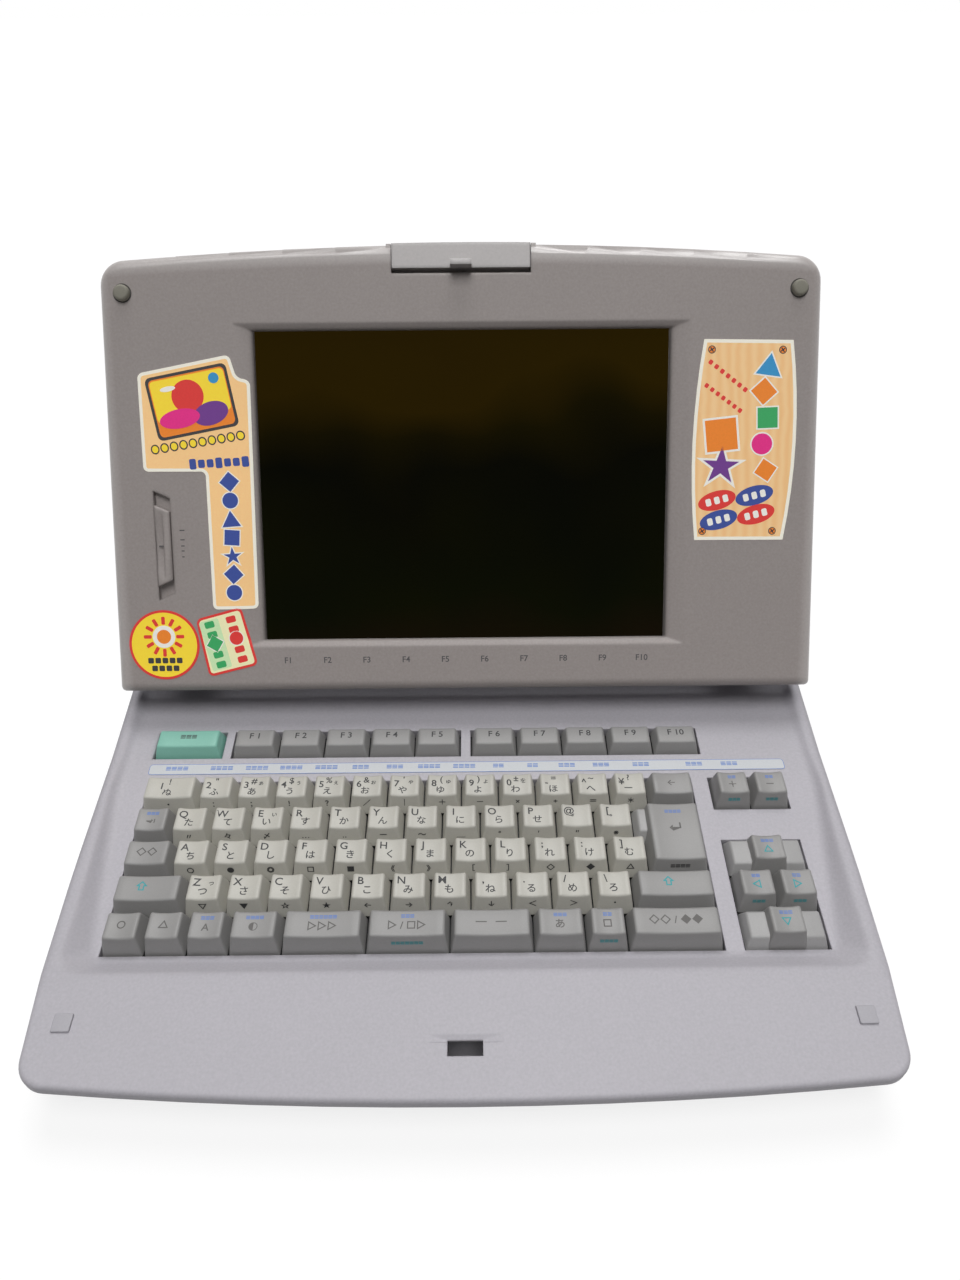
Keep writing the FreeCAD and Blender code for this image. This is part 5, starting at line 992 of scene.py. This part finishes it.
# Barrel-shaped sticker: two columns of large coloured shapes, four ovals and four screw heads.
paper(bulged(*BARREL_LEFT) + bulged(*BARREL_RIGHT), 0, 1.7, border_paper, wood_print())
for step, (shape, ink) in enumerate(zip("▲◆■●◆", (sky_ink, orange_ink, green_ink, pink_ink, orange_ink))):
    place = (155.6 + 1.2 * (-1) ** step, 153.0 - 13.2 * step)
    motif(shape, 14.2 if step < 4 else 12.5, ink, place, -8 + 5 * step)
for step, (shape, ink) in enumerate(zip("■★", (orange_ink, purple_ink))):
    motif(shape, 22.0, ink, (133.4, 117.6 - 15.6 * step), 6 - 9 * step)
for step in range(7):
    patch(red_ink, (126.8 + 3.0 * step, 155.4 - 2.3 * step), 2.1, 2.4, 0.3, -35)
    patch(red_ink, (125.0 + 2.9 * step, 143.8 - 2.1 * step), 2.0, 2.3, 0.3, -35)
for place, ink in (((131.9, 85.6), red_ink), ((151.3, 88.0), navy_ink),
                   ((133.0, 75.6), navy_ink), ((152.4, 78.3), red_ink)):
    spot(ink, place, 20.0, 9.8, 15)
    for step in (-1, 0, 1):
        patch(white_ink, about(place, 4.4 * step, 1.1 * step), 2.8, 3.8, 0.3, 15, 2)
for place in ((127.2, 161.6), (163.4, 161.2), (124.6, 69.8), (161.2, 69.6)):
    spot(dark_ink, place, 4.0, 4.0)
    spot(orange_ink, place, 3.1, 3.1, 0, 2)
    for turn in (35, 125):
        patch(dark_ink, place, 2.7, 0.6, 0.2, turn, 3)

# Round sticker: red rim, a plain sun in the middle and two rows of short bars.
paper([about(DISC_MIDDLE, DISC_RADIUS, 0, 360 / DISC_SIDES * step) for step in range(DISC_SIDES)], 0, 1.3,
      red_ink, yellow_paper)
for step in range(12):
    patch(red_ink, about(SUN, 8.6, 0, 30 * step), 4.2, 1.9, 0.3, 30 * step)
spot(white_ink, SUN, 12.0, 12.0, 0, 2)
spot(orange_ink, SUN, 7.5, 7.5, 0, 3)
for row, count in ((-8.4, 5), (-12.6, 4)):
    for step in range(count):
        patch(dark_ink, about(DISC_MIDDLE, 3.8 * (step - (count - 1) / 2), row), 3.0, 3.0, 0.2, 0, 2)

# Small slanted sticker: a green column and a red one of large shapes and small bars.
paper(PLATE, 3.0, 1.3, red_ink, cream_paper)
for column, ink, ground in ((-5.9, green_ink, lime_paper), (5.9, red_ink, cream_paper)):
    for step in range(5):
        place = about(PLATE_MIDDLE, column, 5.5 * step - 11.0, PLATE_TURN)
        if step == 2:
            patch(ground, place, 10.6, 27.0, 0.1, PLATE_TURN)
            motif("◆" if column < 0 else "●", 9.5, ink, place, PLATE_TURN, 2)
        else:
            patch(ink, place, 5.2, 3.5, 0.25, PLATE_TURN, 2)


def fold_into_recess(sheets):
    """Let the paper follow the gentle slope beside the screen, where it reaches over it."""
    pick(sheets, "FACE", whole)
    for place, across in (((RECESS_EDGE, 0, 0), (1, 0, 0)), ((0, RECESS_FOOT, 0), (0, 1, 0)),
                          ((0, RECESS_FOOT + RECESS_END, 0), (0, 1, 0))):
        bpy.ops.mesh.select_all(action="SELECT")
        bpy.ops.mesh.bisect(plane_co=Vector(place) * MM, plane_no=across)
    bpy.ops.object.mode_set(mode="OBJECT")
    for corner in sheets.data.vertices:
        if RECESS_EDGE < corner.co.x / MM < 0:
            side = (corner.co.x / MM - RECESS_EDGE) * RECESS_DEPTH / RECESS_SIDE
            foot = (corner.co.y / MM - RECESS_FOOT) * RECESS_DEPTH / RECESS_END
            corner.co.z -= max(0.0, min(side, foot)) * MM


stickers = united("sticker_sheets", prints)
fold_into_recess(stickers)
place_on(stickers, LID, "lid", "sticker_paper", "lid_stickers")

# ------------------------ printer
# Thermal printer under the flap behind the lid: pressed steel frame, black rubber roller on
# a ground shaft turned by a motor and a nylon gear, and a carriage drawn by a belt.
BRUSH_MARKS, METAL_PATCH, METAL_DULLING = (0.0004, 0.1, 0.00005), 0.004, 0.92


def metal(name, colour, roughness):
    """Bare or plated metal with fine drawn marks."""
    paint, tree, shader = fresh(name)
    low = [channel * METAL_DULLING for channel in colour]
    tone = mixed(tree, noise(tree, METAL_PATCH, 3), low, colour)
    wire(shader, {"Metallic": 1, "Roughness": roughness, "Base Color": tone})
    roughen(tree, shader, *BRUSH_MARKS)
    return paint


coat(("printer_frame", "hinge_pins", "case_screws", "latch_keeper", "keyboard_backplate", "power_supply"),
     metal("plated_steel", (0.55, 0.55, 0.56), 0.38))
coat(("hinge_brackets",), moulded("painted_steel", (0.30, 0.28, 0.28), 0.4, 0.0004, 0.1, 0.03))
coat(("platen_shaft", "carriage_rail"), metal("ground_shaft", (0.72, 0.72, 0.73), 0.15))
coat(("feed_motor", "carriage_motor"), metal("motor_can", (0.16, 0.16, 0.17), 0.4))
coat(("platen_roller", "drive_belt", "switch_sheet", "rubber_feet"),
     moulded("black_rubber", (0.022, 0.022, 0.023), 0.8, 0.0005, 0.3, 0.08))
coat(("platen_gear", "motor_pinion", "drive_pulley", "idler_pulley"),
     moulded("white_nylon", (0.74, 0.73, 0.68), 0.4, 0.0005, 0.08, 0.02))
black_plastic = moulded("black_plastic", (0.028, 0.028, 0.030), 0.45, 0.0005, 0.15, 0.06, 0.0004)
coat(("print_carriage", "ribbon_cassette", "key_guide"), black_plastic)
coat(("print_head",), metal("head_heat_sink", (0.40, 0.40, 0.41), 0.5))
coat(("printer_cover",), case_plastic)

# ------------------------ platen knob
# Knob pressed on the right end of the roller's shaft, in a notch of the housing. It is moulded
# in dark grey plastic with finger grooves round it.
coat(("platen_knob",), moulded("knob_plastic", (0.20, 0.19, 0.19), 0.5, soften=0.0005))

# ------------------------ sides and rear
# Disk drive with its eject button in the right side, mains inlet and power slider in the
# left. The front of the drive is moulded like the case, the inlet in black.
coat(("floppy_drive",), moulded("drive_front", (0.40, 0.39, 0.42), 0.55, soften=0.0005))
coat(("eject_button",), moulded("eject_plastic", (0.30, 0.29, 0.31), 0.5, soften=0.0004))
coat(("power_inlet", "power_slider"), black_plastic)

# ------------------------ boards
# Main board under the keyboard, of glass fibre under green lacquer, with the black moulded
# packages of its chips soldered on.
TRACKS = {"Scale": 120, "Mortar Size": 0.03, "Color1": (0.014, 0.12, 0.05, 1),
          "Color2": (0.018, 0.14, 0.06, 1), "Mortar": (0.05, 0.26, 0.12, 1)}


def lacquer():
    """Green solder lacquer with the lines of the tracks showing through."""
    paint = moulded("board_lacquer", (0.016, 0.13, 0.055), 0.3, 0.0006, 0.05, 0.1)
    tree, shader = inside(paint)
    lines = node(tree, "TexBrick", {**TRACKS, "Vector": object_place(tree)})
    wire(shader, {"Base Color": lines.outputs["Color"]})
    return paint


coat(("main_board",), lacquer())
coat(("board_chips",), moulded("chip_black", (0.020, 0.020, 0.022), 0.5, 0.0005, 0.1, 0.05))
